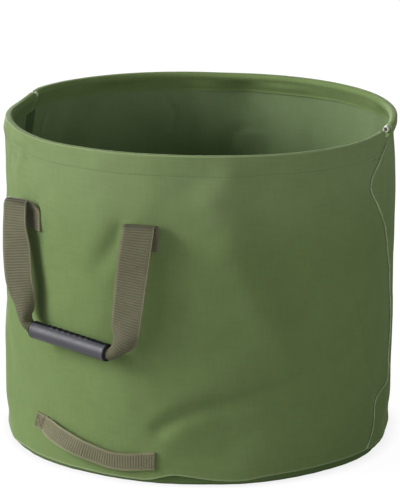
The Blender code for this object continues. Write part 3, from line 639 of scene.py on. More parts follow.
def webbing_finish(name, colour):
    """Coarse shiny yarns that cross over the webbing's ribs, with painted shade in the grooves between them,
    by its attributes rib and pale.
    """
    material, tree, shader = new_material(name)
    uv = add_node(tree, "ShaderNodeUVMap", uv_map="UVMap").outputs[0]
    # Yarns along the webbing are about 1 mm wide, drawn at 3 mm so that they show.
    yarns = add_node(tree, "ShaderNodeTexWave", {
        "Vector": uv, "Scale": wave_scale(0.0030), "Distortion": 0.4}, bands_direction="X")
    fibre_map = add_node(tree, "ShaderNodeMapping", {"Vector": uv, "Scale": (900.0, 120.0, 1.0)})
    fibre = add_node(tree, "ShaderNodeTexNoise", {
        "Vector": fibre_map.outputs[0], "Scale": 1.0, "Detail": 4.0})
    cloud = add_node(tree, "ShaderNodeTexNoise", {"Vector": uv, "Scale": 60.0, "Detail": 3.0})
    raised = add_node(tree, "ShaderNodeAttribute", attribute_name="rib")
    crossed = add_node(tree, "ShaderNodeMath", {0: yarns.outputs["Fac"], 1: 0.3, 2: raised.outputs["Fac"]},
                       operation="MULTIPLY_ADD")
    tone = add_node(tree, "ShaderNodeMath", {0: fibre.outputs["Fac"], 1: cloud.outputs["Fac"]},
                    operation="ADD")
    both = add_node(tree, "ShaderNodeMath", {0: crossed.outputs[0], 1: tone.outputs[0]}, operation="ADD")
    level = add_node(tree, "ShaderNodeMapRange", {
        "Value": both.outputs[0], "From Min": 0.9, "From Max": 2.5, "To Min": 0.66, "To Max": 1.16})
    # The pale attribute lifts the selvedges, which are paler yarn, and carries painted light and shade:
    # darker at the top of a carry strap's fold and towards its grip, lighter over the whole tip strap.
    edge = add_node(tree, "ShaderNodeAttribute", attribute_name="pale")
    lift = add_node(tree, "ShaderNodeMath", {0: edge.outputs["Fac"], 1: 0.30, 2: level.outputs[0]},
                    operation="MULTIPLY_ADD")
    tinted = add_node(tree, "ShaderNodeHueSaturation", {"Color": colour, "Value": lift.outputs[0]})
    bump = add_node(tree, "ShaderNodeBump", {
        "Height": both.outputs[0], "Strength": 0.5, "Distance": 0.0005})
    tree.links.new(tinted.outputs[0], shader.inputs["Base Color"])
    tree.links.new(bump.outputs[0], shader.inputs["Normal"])
    shader.inputs["Roughness"].default_value = 0.70
    shader.inputs["Specular IOR Level"].default_value = 0.20
    shader.inputs["Sheen Weight"].default_value = 0.04
    return material


def grip_finish(name, colour):
    """Moulded plastic, with painted shade where the attribute shade is 1: blacker there, and with a dimmer
    highlight.
    """
    material, tree, shader = new_material(name)
    place = add_node(tree, "ShaderNodeTexCoord").outputs["Object"]
    # The grain is about 0.2 mm, drawn at 0.8 mm.
    grain = add_node(tree, "ShaderNodeTexNoise", {"Vector": place, "Scale": 1250.0, "Detail": 2.0})
    smear = add_node(tree, "ShaderNodeTexNoise", {"Vector": place, "Scale": 90.0, "Detail": 3.0})
    level = add_node(tree, "ShaderNodeMapRange", {
        "Value": smear.outputs["Fac"], "From Min": 0.3, "From Max": 0.7, "To Min": 0.88, "To Max": 1.12})
    # Painted shade: the band of snap teeth along the top and the rings at both ends are drawn blacker, with a
    # dimmer highlight.
    banded = add_node(tree, "ShaderNodeAttribute", attribute_name="shade")
    dimmed = add_node(tree, "ShaderNodeMath", {0: banded.outputs["Fac"], 1: -0.75, 2: level.outputs[0]},
                      operation="MULTIPLY_ADD")
    tinted = add_node(tree, "ShaderNodeHueSaturation", {"Color": colour, "Value": dimmed.outputs[0]})
    gloss = add_node(tree, "ShaderNodeMapRange", {
        "Value": banded.outputs["Fac"], "To Min": 0.62, "To Max": 0.12})
    matt = add_node(tree, "ShaderNodeMapRange", {
        "Value": smear.outputs["Fac"], "From Min": 0.3, "From Max": 0.7, "To Min": 0.48, "To Max": 0.56})
    bump = add_node(tree, "ShaderNodeBump", {
        "Height": grain.outputs["Fac"], "Strength": 0.12, "Distance": 0.0003})
    tree.links.new(tinted.outputs[0], shader.inputs["Base Color"])
    tree.links.new(gloss.outputs[0], shader.inputs["Specular IOR Level"])
    tree.links.new(matt.outputs[0], shader.inputs["Roughness"])
    tree.links.new(bump.outputs[0], shader.inputs["Normal"])
    shader.inputs["IOR"].default_value = 1.51
    return material


def hoop_finish(name, colour):
    """Milky tube with faint lines along it from the die."""
    material, tree, shader = new_material(name)
    place = add_node(tree, "ShaderNodeTexCoord").outputs["Object"]
    drawn = add_node(tree, "ShaderNodeMapping", {"Vector": place, "Scale": (20.0, 20.0, 700.0)})
    lines = add_node(tree, "ShaderNodeTexNoise", {"Vector": drawn.outputs[0], "Scale": 1.0, "Detail": 2.0})
    level = add_node(tree, "ShaderNodeMapRange", {
        "Value": lines.outputs["Fac"], "From Min": 0.3, "From Max": 0.7, "To Min": 0.94, "To Max": 1.02})
    tinted = add_node(tree, "ShaderNodeHueSaturation", {"Color": colour, "Value": level.outputs[0]})
    bump = add_node(tree, "ShaderNodeBump", {
        "Height": lines.outputs["Fac"], "Strength": 0.1, "Distance": 0.0002})
    tree.links.new(tinted.outputs[0], shader.inputs["Base Color"])
    tree.links.new(bump.outputs[0], shader.inputs["Normal"])
    shader.inputs["Roughness"].default_value = 0.38
    shader.inputs["IOR"].default_value = 1.51
    return material


def bore_finish(name, colour):
    """A tube's bore, painted near black as shade, with a mottled tone."""
    material, tree, shader = new_material(name)
    place = add_node(tree, "ShaderNodeTexCoord").outputs["Object"]
    bore_mottle = add_node(tree, "ShaderNodeTexNoise", {"Vector": place, "Scale": 400.0, "Detail": 3.0})
    level = add_node(tree, "ShaderNodeMapRange", {"Value": bore_mottle.outputs["Fac"], "To Min": 0.6, "To Max": 1.4})
    tinted = add_node(tree, "ShaderNodeHueSaturation", {"Color": colour, "Value": level.outputs[0]})
    tree.links.new(tinted.outputs[0], shader.inputs["Base Color"])
    shader.inputs["Roughness"].default_value = 0.9
    return material


def thread_finish(name, colour):
    """Sewing thread with the rope lay of its plies."""
    material, tree, shader = new_material(name)
    place = add_node(tree, "ShaderNodeTexCoord").outputs["Object"]
    # The thread's plies turn about every 0.8 mm.
    ply = add_node(tree, "ShaderNodeTexWave", {
        "Vector": place, "Scale": wave_scale(0.0008), "Distortion": 1.0}, bands_direction="DIAGONAL")
    level = add_node(tree, "ShaderNodeMapRange", {
        "Value": ply.outputs["Fac"], "To Min": 0.80, "To Max": 1.10})
    tinted = add_node(tree, "ShaderNodeHueSaturation", {"Color": colour, "Value": level.outputs[0]})
    bump = add_node(tree, "ShaderNodeBump", {
        "Height": ply.outputs["Fac"], "Strength": 0.3, "Distance": 0.0002})
    tree.links.new(tinted.outputs[0], shader.inputs["Base Color"])
    tree.links.new(bump.outputs[0], shader.inputs["Normal"])
    shader.inputs["Roughness"].default_value = 0.55
    return material


def finishes(colours):
    """Every material, made on the first call, and named for the real one and how its surface was made."""
    rows = (
        # Woven polyester canvas: matt, evenly dyed, with slubs along the yarns, paler where it is rubbed, and
        # paler where light is painted on it.
        ("canvas", canvas_finish, "polyester_canvas_woven", colours.canvas, colours.worn_and_lit, 0.88, 0.03),
        # The same canvas on its coated side: a thin rubbery film that dulls the weave and darkens it, with
        # painted shade inside the bag darkening it more.
        ("lining", canvas_finish, "polyester_canvas_coated", colours.lining, colours.worn_and_lit, 0.60, 0.02),
        # The base's canvas: the same weave in a darker copy, painted shade for its edge under the wall's
        # overhang.
        ("base", canvas_finish, "polyester_canvas_base_woven", colours.base, colours.worn_and_lit, 0.90, 0.02),
        # Woven polyester tape: matt, and a shade darker than the canvas.
        ("tape", canvas_finish, "polyester_tape_woven", colours.tape, colours.tape, 0.80, 0.03),
        # Woven polypropylene webbing: coarse shiny yarns over the ribs, painted shade in the grooves between
        # them, paler at the selvedges.
        ("webbing", webbing_finish, "polypropylene_webbing_woven", colours.webbing),
        # Moulded polyethylene: an even spark-eroded grain that spreads the highlight into a broad band.
        ("grip", grip_finish, "polyethylene_grip_moulded", colours.grip),
        # Extruded polyethylene tube: milky white and satin.
        ("hoop", hoop_finish, "polyethylene_tube_extruded", colours.hoop),
        # The tube's bore, painted near black as shade so that its open end reads as a hole.
        ("bore", bore_finish, "polyethylene_tube_bore_painted_shade", linear("#191816")),
        # Twisted polyester thread: a fine rope lay that catches the light in short dashes.
        ("thread", thread_finish, "polyester_thread_twisted", colours.thread),
        ("webbing_thread", thread_finish, "polyester_thread_twisted_olive", colours.webbing_thread),
        ("tack_thread", thread_finish, "polyester_thread_twisted_dark", colours.tack_thread),
    )
    return {key: bpy.data.materials.get(name) or make(name, *values) for key, make, name, *values in rows}


def sizes_and_finishes(scene):
    return scene.garden_bag_sizes, finishes(scene.garden_bag_colours)


# The wall's shape


def outward(azimuth):
    turn = np.radians(azimuth)
    return np.stack([np.sin(turn), -np.cos(turn), 0 * turn], -1)


def sideways(azimuth):
    turn = np.radians(azimuth)
    return np.stack([np.cos(turn), np.sin(turn), 0 * turn], -1)


def ease(low, high, value):
    """0 below low, 1 above high, and smooth between."""
    share = np.clip((value - low) / (high - low), 0, 1)
    return share * share * (3 - 2 * share)


def wall_radius(height):
    """Outside radius of the level, unfolded wall."""
    share = (height - FOOT_GAP) / (BAG_HEIGHT - FOOT_GAP)
    return FOOT_RADIUS + (RIM_RADIUS - FOOT_RADIUS) * share


def turn_from(azimuth, place):
    """The signed turn from a place to an azimuth, within half a turn."""
    return (azimuth - place + 180) % 360 - 180


def round_table(azimuth, rows):
    """A value read all the way round from (azimuth, value) rows."""
    places, values = np.array(rows, float).T
    around = np.append(places - places[0], 360)
    return np.interp((azimuth - places[0]) % 360, around, np.append(values, values[0]))


def smoothed(read, place, spread):
    """What a table's reader gives round a place, averaged so that the table's corners are rounded off."""
    place = np.asarray(place, float)
    total = 0.0
    for step, weight in ((-1.0, 1), (-0.5, 2), (0.0, 3), (0.5, 2), (1.0, 1)):
        total = total + weight * read(place + step * spread)
    return total / 9


def smooth_table(azimuth, rows, spread):
    """round_table, with its corners rounded off over a spread in degrees."""
    return smoothed(lambda place: round_table(place, rows), azimuth, spread)


def seam_azimuth(seam, height):
    """A seam's azimuth at a height, with the corners of its table rounded off."""
    heights, azimuths = zip(*seam)
    return smoothed(lambda place: np.interp(place, heights, azimuths), height, 0.008)


def seam_puckers():
    """Short pulls in the canvas either side of both seams, as rows of FOLDS."""
    rng = random.Random(7)
    rows = []
    for seam in (RIGHT_SEAM, LEFT_SEAM):
        height, top = PUCKER_HEIGHTS
        while height < top:
            side = rng.choice((-1, 1))
            azimuth = float(seam_azimuth(seam, height)) + side * rng.uniform(*PUCKER_TURN)
            lean = side * rng.uniform(*PUCKER_LEAN)
            rows.append((azimuth, height, lean, rng.uniform(*PUCKER_LENGTH), rng.uniform(*PUCKER_WIDTH),
                         rng.uniform(*PUCKER_OUT)))
            height += rng.uniform(*PUCKER_SPACING)
    return rows


def ripples(azimuth, height):
    """The small swells of RIPPLES, added up."""
    turn = np.radians(azimuth)
    out = 0.0
    for amount, waves, drift, phase, beats, beat_drift, beat_phase in RIPPLES:
        swell = np.sin(waves * turn + drift * height + phase)
        out = out + amount * swell * np.sin(beats * height + beat_drift * turn + beat_phase)
    return out


def fold_offset(azimuth, height):
    """The wall's folds, hollows and puckers, added up."""
    out = np.zeros(azimuth.shape)
    for place, level, lean, along, across, amount in FOLDS + tuple(seam_puckers()):
        s = np.radians(turn_from(azimuth, place)) * RIM_RADIUS
        t = height - level
        turn = math.radians(lean)
        p = (s * math.sin(turn) + t * math.cos(turn)) / along
        q = (s * math.cos(turn) - t * math.sin(turn)) / across
        out += amount * np.exp(-0.5 * (p * p + q * q))
    return out


def crease_offset(azimuth, height):
    """The wall's creases and ridges, added up, each by the distance from its line."""
    out = np.zeros(azimuth.shape)
    for width, amount, line in CREASES:
        near = np.full(azimuth.shape, 1.0)
        for (a1, z1), (a2, z2) in zip(line, line[1:]):
            s = np.radians(turn_from(azimuth, a1)) * RIM_RADIUS
            t = height - z1
            run = math.radians(a2 - a1) * RIM_RADIUS
            rise = z2 - z1
            share = np.clip((s * run + t * rise) / (run * run + rise * rise), 0, 1)
            near = np.minimum(near, np.hypot(s - share * run, t - share * rise))
        out += amount * np.exp(-(near / width) ** 2)
    return out


def wall_offset(azimuth, height):
    """How far the folded wall stands out from the level one, in metres."""
    azimuth, height = np.broadcast_arrays(np.asarray(azimuth, float), np.maximum(height, BASE_UPTURN))
    strength = bpy.context.scene.garden_bag_sizes.fold_strength
    out = (fold_offset(azimuth, height) + crease_offset(azimuth, height)) * strength
    out += ripples(azimuth, height)
    # The seams are drawn in a little where the panels are sewn.
    depth, width = SEAM_GROOVE
    for seam in (RIGHT_SEAM, LEFT_SEAM):
        apart = np.abs(turn_from(azimuth, seam_azimuth(seam, height))) * math.radians(1) * RIM_RADIUS
        out -= depth * np.exp(-(apart / width) ** 2)
    # The row of stitches presses a groove into the hem.
    depth, width = STITCH_GROOVE
    out -= depth * np.exp(-((height - HEM_STITCH) / width) ** 2)
    # Under the tabs the canvas is held flat.
    for middle in (0, 180):
        for side in (-1, 1):
            s = np.radians(turn_from(azimuth, middle + side * TAB_AZIMUTHS[side])) * RIM_RADIUS
            t = height - (FOLD_HEIGHT - TAB_LENGTH / 2)
            out *= ease(*TAB_FLAT, np.hypot(s * TAB_FLAT_SHAPE[0], t * TAB_FLAT_SHAPE[1]))
    # Behind the handles it stays clear of the grips.
    level = ease(*HANDLE_LOW, height) * (1 - ease(*HANDLE_HIGH, height))
    for middle in (0, 180):
        beside = 1 - ease(*HANDLE_SIDE, np.abs(turn_from(azimuth, middle)))
        out = np.where(out > HANDLE_ROOM, out - (out - HANDLE_ROOM) * beside * level, out)
    # The hoop and the base hold the canvas from inside; past the right seam the base is drawn in with it.
    drawn = np.exp(-(turn_from(azimuth, DRAWN_IN[0]) / DRAWN_IN[1]) ** 2)
    by_base = (1 - ease(BASE_UPTURN, BASE_HOLD, height)) * (1 - drawn)
    held = np.maximum(ease(*HOOP_HOLD, height), by_base)
    return np.where(out < 0, out * (1 - held), out * (1 - 0.5 * ease(*RIM_HOLD, height)))


def rim_rise(azimuth, height):
    """How far the rim's warp lifts the wall at a height."""
    return smooth_table(azimuth, RIM_WARP, 4.0) * ease(*RIM_WARP_HEIGHTS, height)


def on_wall(azimuth, height, out=0.0):
    """Points on the folded wall's outer face, or at a distance out from it."""
    azimuth, height = np.broadcast_arrays(np.asarray(azimuth, float), np.asarray(height, float))
    radius = wall_radius(height) + wall_offset(azimuth, height) + out
    points = outward(azimuth) * radius[..., None]
    points[..., 2] = height + rim_rise(azimuth, height)
    return points


# Meshes


def new_object(name, mesh, material=None):
    item = bpy.data.objects.new(name, mesh)
    bpy.context.scene.collection.objects.link(item)
    if material:
        mesh.materials.append(material)
    return item


def grid_object(name, points, across, along, material, loop=False, attributes=None):
    """A surface through a grid of points, with distances across and along it in metres as its UV map."""
    rows, columns = points.shape[:2]
    mesh = bpy.data.meshes.new(name)
    i, j = np.meshgrid(np.arange(rows - 1), np.arange(columns if loop else columns - 1), indexing="ij")
    k = (j + 1) % columns
    quads = np.stack([i * columns + j, (i + 1) * columns + j, (i + 1) * columns + k, i * columns + k], -1)
    mesh.from_pydata(points.reshape(-1, 3).tolist(), [], quads.reshape(-1, 4).tolist())
    uv = np.stack([np.broadcast_to(across, (rows, columns)), np.broadcast_to(along, (rows, columns))], -1)
    layer = mesh.uv_layers.new(name="UVMap")
    layer.data.foreach_set("uv", uv.reshape(-1, 2)[quads.reshape(-1)].astype(np.float32).ravel())
    for label, values in (attributes or {}).items():
        attribute = mesh.attributes.new(label, "FLOAT", "POINT")
        spread = np.broadcast_to(values, (rows, columns)).astype(np.float32)
        attribute.data.foreach_set("value", np.ascontiguousarray(spread).ravel())
    return new_object(name, mesh, material)


def thicken(item, thickness, offset=0.0, inner_slot=0):
    """Gives a surface its thickness, about its middle or at an offset, with its own inner material."""
    solid = item.modifiers.new("Thickness", "SOLIDIFY")
    solid.thickness = thickness
    solid.offset = offset
    solid.material_offset = inner_slot


def made_solid(item, angle):
    """Applies the object's modifiers, so that what is left is a plain mesh, sharp past an angle."""
    bpy.context.view_layer.update()
    graph = bpy.context.evaluated_depsgraph_get()
    mesh = bpy.data.meshes.new_from_object(
        item.evaluated_get(graph), preserve_all_data_layers=True, depsgraph=graph)
    item.modifiers.clear()
    old = item.data
    item.data = mesh
    mesh.name = item.name
    bpy.data.meshes.remove(old)
    mesh.shade_smooth()
    mesh.set_sharp_from_angle(angle=math.radians(angle))
    return item


def sew(name, lines, sizes, material):
    """Rows of stitches along lines of points, as one piece of the bag."""
    mesh = bpy.data.meshes.new(name)
    points = []
    edges = []
    for line in lines:
        start = len(points)
        points += [tuple(point) for point in line]
        edges += [(i, i + 1) for i in range(start, len(points) - 1)]
    mesh.from_pydata(points, edges, [])
    item = new_object(name, mesh)
    add_tree(item, stitch_tree(), {
        "Stitch length": sizes.stitch_length, "Gap": sizes.stitch_gap, "Thread": sizes.thread,
        "Material": material})
    made_solid(item, 180)
    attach(item, "bag")
    return item


def lengths(points):
    """Distance along a row of points, from its start."""
    steps = np.linalg.norm(np.diff(points, axis=0), axis=1)
    return np.concatenate([[0.0], np.cumsum(steps)])


def curve_through(points, count):
    """Rows of numbers, evenly shared along a smooth curve through the given rows."""
    given = np.array(points, float)
    given = np.vstack([2 * given[0] - given[1], given, 2 * given[-1] - given[-2]])
    place = np.linspace(0, len(points) - 1, count + 1)
    span = np.minimum(place.astype(int), len(points) - 2)
    t = (place - span)[:, None]
    a, b, c, d = (given[span + k] for k in range(4))
    return (2 * b + (c - a) * t + (2 * a - 5 * b + 4 * c - d) * t * t + (3 * b - a - 3 * c + d) * t ** 3) / 2


# Canvas


def panel_columns(first, last):
    """Shares of the way across a panel, closer together within 9 degrees of both seams, and within 1.2."""
    span = last - first
    coarse = np.linspace(0, 1, 190)
    fine = np.concatenate([np.linspace(0, 9 / span, 22)[1:], np.linspace(0, 1.2 / span, 13)[1:]])
    return np.unique(np.round(np.concatenate([coarse, fine, 1 - fine]), 6))


def panel_rows(canvas, ring, level, channel, corner):
    """Radius and height of each row of a panel, from the hem's edge inside, over the channel for the
    hoop and down to the foot, and how far each row belongs to the outer layer."""
    skin = canvas / 2
    layer = skin + canvas + CLEARANCE
    turns = np.radians(np.linspace(CHANNEL_START, 90, 13))
    arc = np.stack([ring + channel * np.cos(turns), level + channel * np.sin(turns)], -1)
    turns = np.radians(np.linspace(90, 0, 7))[1:]
    edge = channel - corner
    bend = np.stack([ring + edge + corner * np.cos(turns), level + edge + corner * np.sin(turns)], -1)
    # Inside, the hem lies on the wall up to just above its stitches, and from there leans to the hoop.
    low = BAG_HEIGHT - HEM_DEPTH
    sewn = (low, low + 0.0009, HEM_STITCH + 0.0012, HEM_STITCH + 0.0022)
    inner = [(wall_radius(height) - layer, height) for height in sewn]
    start, end = np.array(inner[-1]), arc[0]
    inner += [tuple(start + (end - start) * share) for share in (0.14, 0.3, 0.5, 0.7, 0.86)]
    # Outside, the rows lie close together at the stitches' groove and at the foot.
    heights = np.concatenate([
        np.linspace(bend[-1, 1], HEM_STITCH + 0.0036, 10)[1:],
        HEM_STITCH + np.array([0.0026, 0.0017, 0.0009, 0.0, -0.0009, -0.0017, -0.0026]),
        np.linspace(0.426, 0.030, 108), [0.026, 0.022, 0.018, 0.014, 0.011, FOOT_GAP]])
    loose = bend[-1, 0] - (wall_radius(bend[-1, 1]) - skin)
    fade = 1 - ease(HEM_STITCH + 0.003, bend[-1, 1], heights)
    outer = np.stack([wall_radius(heights) - skin + loose * (1 - fade), heights], -1)
    rows = np.vstack([inner, arc, bend, outer])
    inside = len(inner) + len(arc)
    share = np.clip((np.arange(len(rows)) - inside + 1) / len(bend), 0, 1)
    return rows[:, 0], rows[:, 1], share


def open_share(azimuth, notch):
    """1 where the hem is open over the hoop, 0 where it is closed."""
    first, last = notch[:2]
    soft = (last - first) * NOTCH_SOFTNESS
    return ease(first, first + soft, azimuth) * (1 - ease(last - soft, last, azimuth))


def make_panel(name, node, sizes, made, first_seam, last_seam, turn):
    """One half of the wall with its hem, from one seam to the other."""
    closed = panel_rows(sizes.canvas, HOOP_RING, HOOP_HEIGHT, CHANNEL, RIM_CORNER)
    columns = panel_columns(first_seam[-1][1] - turn, last_seam[-1][1])
    radius, height, outer = (row[:, None] for row in closed)
    gap = math.degrees(CLEARANCE / 2 / RIM_RADIUS)
    start = seam_azimuth(first_seam, height) - turn + gap
    end = seam_azimuth(last_seam, height) - gap
    azimuth = start + (end - start) * columns[None, :]
    # Where the hem is open the canvas folds down below the hoop.
    level = np.broadcast_to(height, azimuth.shape)
    radius = np.broadcast_to(radius, azimuth.shape)
    for notch in NOTCHES:
        fold = wall_radius(notch[2]) - sizes.canvas / 2 - NOTCH_FOLD
        tucked = panel_rows(sizes.canvas, fold, notch[2] - NOTCH_FOLD, NOTCH_FOLD, NOTCH_FOLD)
        opened = open_share(azimuth % 360, notch)
        level = level + (tucked[1][:, None] - level) * opened
        radius = radius + (tucked[0][:, None] - radius) * opened
    height = np.broadcast_to(height, azimuth.shape)
    # The wall's lower edge is drawn up and down along the foot.
    edge = smooth_table(azimuth, FOOT_EDGE, 3.0)
    level = level + (edge - FOOT_GAP) * (1 - ease(FOOT_GAP, FOOT_EDGE_TOP, height))
    radius = radius + FOOT_FLARE * (1 - ease(FOOT_GAP, BASE_UPTURN, height))
    # The canvas is loose outside the hoop, and held by it inside.
    free = 1 - ease(0.444, 0.451, height) * (1 - outer)
    radius = radius + wall_offset(azimuth, height) * free
    points = outward(azimuth) * radius[..., None]
    points[..., 2] = level + rim_rise(azimuth, height)
    along = lengths(np.stack(closed[:2], -1))[:, None]
    across = np.radians(azimuth) * RIM_RADIUS
    # Painted highlight along the rim's outer edge; rubbed pale at the foot; rubbed pale with a painted
    # highlight beside the seams.
    crown = np.exp(-((closed[2] - 0.6) / 0.2) ** 2)[:, None] * (closed[1] > BAG_HEIGHT - 0.0028)[:, None]
    wear_and_painted_light = RIM_PAINTED_HIGHLIGHT * crown + FOOT_WEAR * (1 - ease(FOOT_GAP, 0.0105, height))
    near = np.minimum(np.abs(azimuth - start), np.abs(azimuth - end)) * math.radians(1) * RIM_RADIUS
    wear_and_painted_light = np.maximum(wear_and_painted_light, SEAM_WEAR_AND_HIGHLIGHT * np.exp(-(near / 0.003) ** 2))
    # Painted light: the outside is paler towards the rim, where light shows through the thin canvas.
    wear_and_painted_light = np.maximum(wear_and_painted_light, PAINTED_TOP_LIGHT * ease(*PAINTED_TOP_LIGHT_HEIGHTS, height) * outer)
    item = grid_object(name, points, across, along, made["canvas"], attributes={"wear_and_painted_light": wear_and_painted_light})
    item.data.materials.append(made["lining"])
    thicken(item, sizes.canvas, inner_slot=1)
    made_solid(item, 60)
    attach(item, "bag")
    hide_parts(node)
    return item


class GARDENBAG_OT_canvas(bpy.types.Operator):
    """Makes the two halves of the canvas wall, each with its own hem"""
    bl_idname = "gardenbag.canvas"
    bl_label = "Canvas wall"

    def execute(self, context):
        sizes, made = sizes_and_finishes(context.scene)
        front = make_panel("canvas_front", "front_panel", sizes, made, LEFT_SEAM, RIGHT_SEAM, 360)
        back = make_panel("canvas_back", "back_panel", sizes, made, RIGHT_SEAM, LEFT_SEAM, 0)
        return {"FINISHED"}


def make_base(sizes, made):
    """The round base, from its turned-up edge down, round the corner and in to its middle."""
    skin = sizes.canvas / 2
    edge = BASE_RADIUS - skin
    bend = BASE_CORNER - skin
    # Each row is a radius, a height, and 0 on the upturn to 1 on the flat.
    rows = [(edge, height, 0.0) for height in (BASE_UPTURN, 0.017, 0.012)]
    for degrees in range(0, 91, 10):
        turn = math.radians(degrees)
        rows.append((edge - bend + bend * math.cos(turn), BASE_CORNER - bend * math.sin(turn), 0.3))
    rows += [(edge - bend - step, skin, 1.0) for step in np.geomspace(0.004, edge - bend - 0.0015, 34)]
    rows = np.array(rows)
    azimuth = np.linspace(0, 360, 241)[None, :-1]
    radius, height, flat = (rows[:, k][:, None] for k in range(3))
    turn = np.radians(azimuth)
    # The flat of the base lies in shallow creases that run in from its sewn edge.
    inner = np.clip(radius / edge, 0, 1)
    rays = np.sin(9 * turn + 2.5 * inner) * 0.0009 + np.sin(17 * turn - 4 * inner) * 0.0006
    swell = np.sin(2 * turn + 5 * inner + 0.7) * 0.0012 + 0.0014
    lift = (swell + rays * inner ** 2) * flat * (1 - ease(0.86, 0.99, inner)) * ease(0.0, 0.25, inner)
    pucker = np.sin(61 * turn) * 0.00035 * ease(0.7, 0.95, inner)
    bulge = 0.0010 * np.exp(-((height - 0.0035) / 0.0035) ** 2) * (1 - flat)
    # It is tucked in behind the one place where the wall's edge stands up.
    place, level, spread, tall, depth = BASE_TUCK
    tuck = depth * np.exp(-((azimuth - place) / spread) ** 2 - ((height - level) / tall) ** 2) * (1 - flat)
    foot = wall_offset(azimuth, BASE_UPTURN) * ease(0.75, 1.0, inner)
    outer = radius + pucker * (1 - flat) + bulge - tuck + foot
    points = outward(azimuth + 0 * radius) * outer[..., None]
    points[..., 2] = height + np.maximum(lift, 0)
    along = lengths(rows[:, :2])[:, None]
    plan = outward(azimuth) * np.maximum(edge - along, 0)[..., None]
    item = grid_object("base_canvas", points, plan[..., 0], plan[..., 1], made["base"], loop=True,
                       attributes={"wear_and_painted_light": 0.0})
    close_middle(item, len(rows), azimuth.size)
    item.data.materials.append(made["lining"])
    thicken(item, sizes.canvas, inner_slot=1)
    made_solid(item, 60)
    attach(item, "bag")
    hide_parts("base_panel")


def make_binding(sizes, made):
    """The tape over the base's sewn edge, inside the bag. Its free upper edge waves a little."""
    inside = BASE_RADIUS - sizes.canvas - CLEARANCE - TAPE / 2
    azimuth = np.linspace(0, 360, 241)[None, :-1]
    turn = np.radians(azimuth)
    heights = BINDING_LOW + TAPE_WIDTH - np.linspace(0, TAPE_WIDTH, 9)[:, None]
    wave = np.sin(47 * turn) * 0.0003 + np.sin(19 * turn + 1) * 0.0005 - 0.0004
    free = ease(BASE_UPTURN, BINDING_LOW + TAPE_WIDTH, heights)
    radius = inside + wall_offset(azimuth, heights) + wave * free
    points = outward(azimuth + 0 * heights) * radius[..., None]
    points[..., 2] = heights + np.sin(23 * turn) * 0.0003
    tape = grid_object("base_binding_tape", points, turn * inside, heights, made["tape"], loop=True,
                       attributes={"wear_and_painted_light": 0.0})
    thicken(tape, TAPE)
    made_solid(tape, 60)
    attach(tape, "bag")
    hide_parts("base_binding")


class GARDENBAG_OT_base(bpy.types.Operator):
    """Makes the round canvas base with its turned-up edge, and the tape that binds its seam"""
    bl_idname = "gardenbag.base"
    bl_label = "Base"

    def execute(self, context):
        sizes, made = sizes_and_finishes(context.scene)
        make_base(sizes, made)
        make_binding(sizes, made)
        return {"FINISHED"}


def close_middle(item, rows, columns):
    """Fills the small hole that the last row of a round grid leaves."""
    mesh = bmesh.new()
    mesh.from_mesh(item.data)
    mesh.verts.ensure_lookup_table()
    last = mesh.verts[(rows - 1) * columns:]
    middle = mesh.verts.new(sum((v.co for v in last), Vector()) / columns)
    layer = mesh.loops.layers.uv.active
    for j in range(columns):
        face = mesh.faces.new((last[j], middle, last[(j + 1) % columns]))
        for loop in face.loops:
            loop[layer].uv = loop.vert.co.xy
    mesh.to_mesh(item.data)
    mesh.free()


def seam_line(seam, low, high, turn, out):
    """Points beside a seam on the wall's face, a turn in degrees from it, from low to high."""
    heights = np.linspace(low, high, 300)
    return on_wall(seam_azimuth(seam, heights) + turn, heights, out)


def make_seam_fold(side, seam, top, rng, made):
    """The folded ridge of canvas along a side seam, up to the opening in the hem."""
    heights = np.linspace(SEAM_FOLD_LOW, top, 300)
    azimuth = seam_azimuth(seam, heights)
    phases = [rng.uniform(0, 6) for _ in range(3)]
    uneven = sum(np.sin(heights * f + p) for f, p in zip((160, 330, 610), phases)) / 3
    width = SEAM_FOLD_WIDTH[0] + SEAM_FOLD_WIDTH[1] * uneven
    high = SEAM_FOLD_HEIGHT[0] + SEAM_FOLD_HEIGHT[1] * uneven
    rows = []
    for turn in np.linspace(0, 2 * math.pi, SEAM_FOLD_SIDES + 1)[:-1]:
        c, s = math.cos(turn), math.sin(turn)
        across = SEAM_FOLD_SHIFT - np.sign(c) * abs(c) ** 0.7 * width
        out = 0.0002 + (0.5 + 0.5 * np.sign(s) * abs(s) ** 0.8) * high
        rows.append(on_wall(azimuth + np.degrees(across / RIM_RADIUS), heights, out))
    points = np.stack(rows, 1)[::-1]
    around = np.linspace(0, 0.010, SEAM_FOLD_SIDES)[None, :]
    # The ridge is rubbed pale and carries a painted highlight along it.
    fold = grid_object(side + "_seam_fold", points, around, heights[::-1, None], made["canvas"], loop=True,
                       attributes={"wear_and_painted_light": 0.95 + 0.2 * uneven[::-1, None]})
    close_ends(fold, len(heights), SEAM_FOLD_SIDES)
    made_solid(fold, 60)
    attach(fold, "bag")


def make_seam_tape(side, seam, sizes, made):
    """The tape that covers a side seam inside, from above the base's binding to below the hem."""
    heights = np.linspace(BINDING_LOW + TAPE_WIDTH + 0.001, BAG_HEIGHT - HEM_DEPTH - 0.0006, 150)[:, None]
    across = np.linspace(-0.5, 0.5, 9)[None, :] * TAPE_WIDTH
    azimuth = seam_azimuth(seam, heights) + np.degrees(across / RIM_RADIUS)
    # Its middle bulges over the seam's allowance.
    out = -sizes.canvas - CLEARANCE - TAPE / 2 - 0.0009 * np.exp(-(across / 0.004) ** 2)
    points = on_wall(azimuth, heights, out)[::-1]
    tape = grid_object(side + "_seam_cover_tape", points, across, heights[::-1], made["tape"],
                       attributes={"wear_and_painted_light": 0.0})
    thicken(tape, TAPE)
    made_solid(tape, 60)
    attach(tape, "bag")
    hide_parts(side + "_seam_tape")


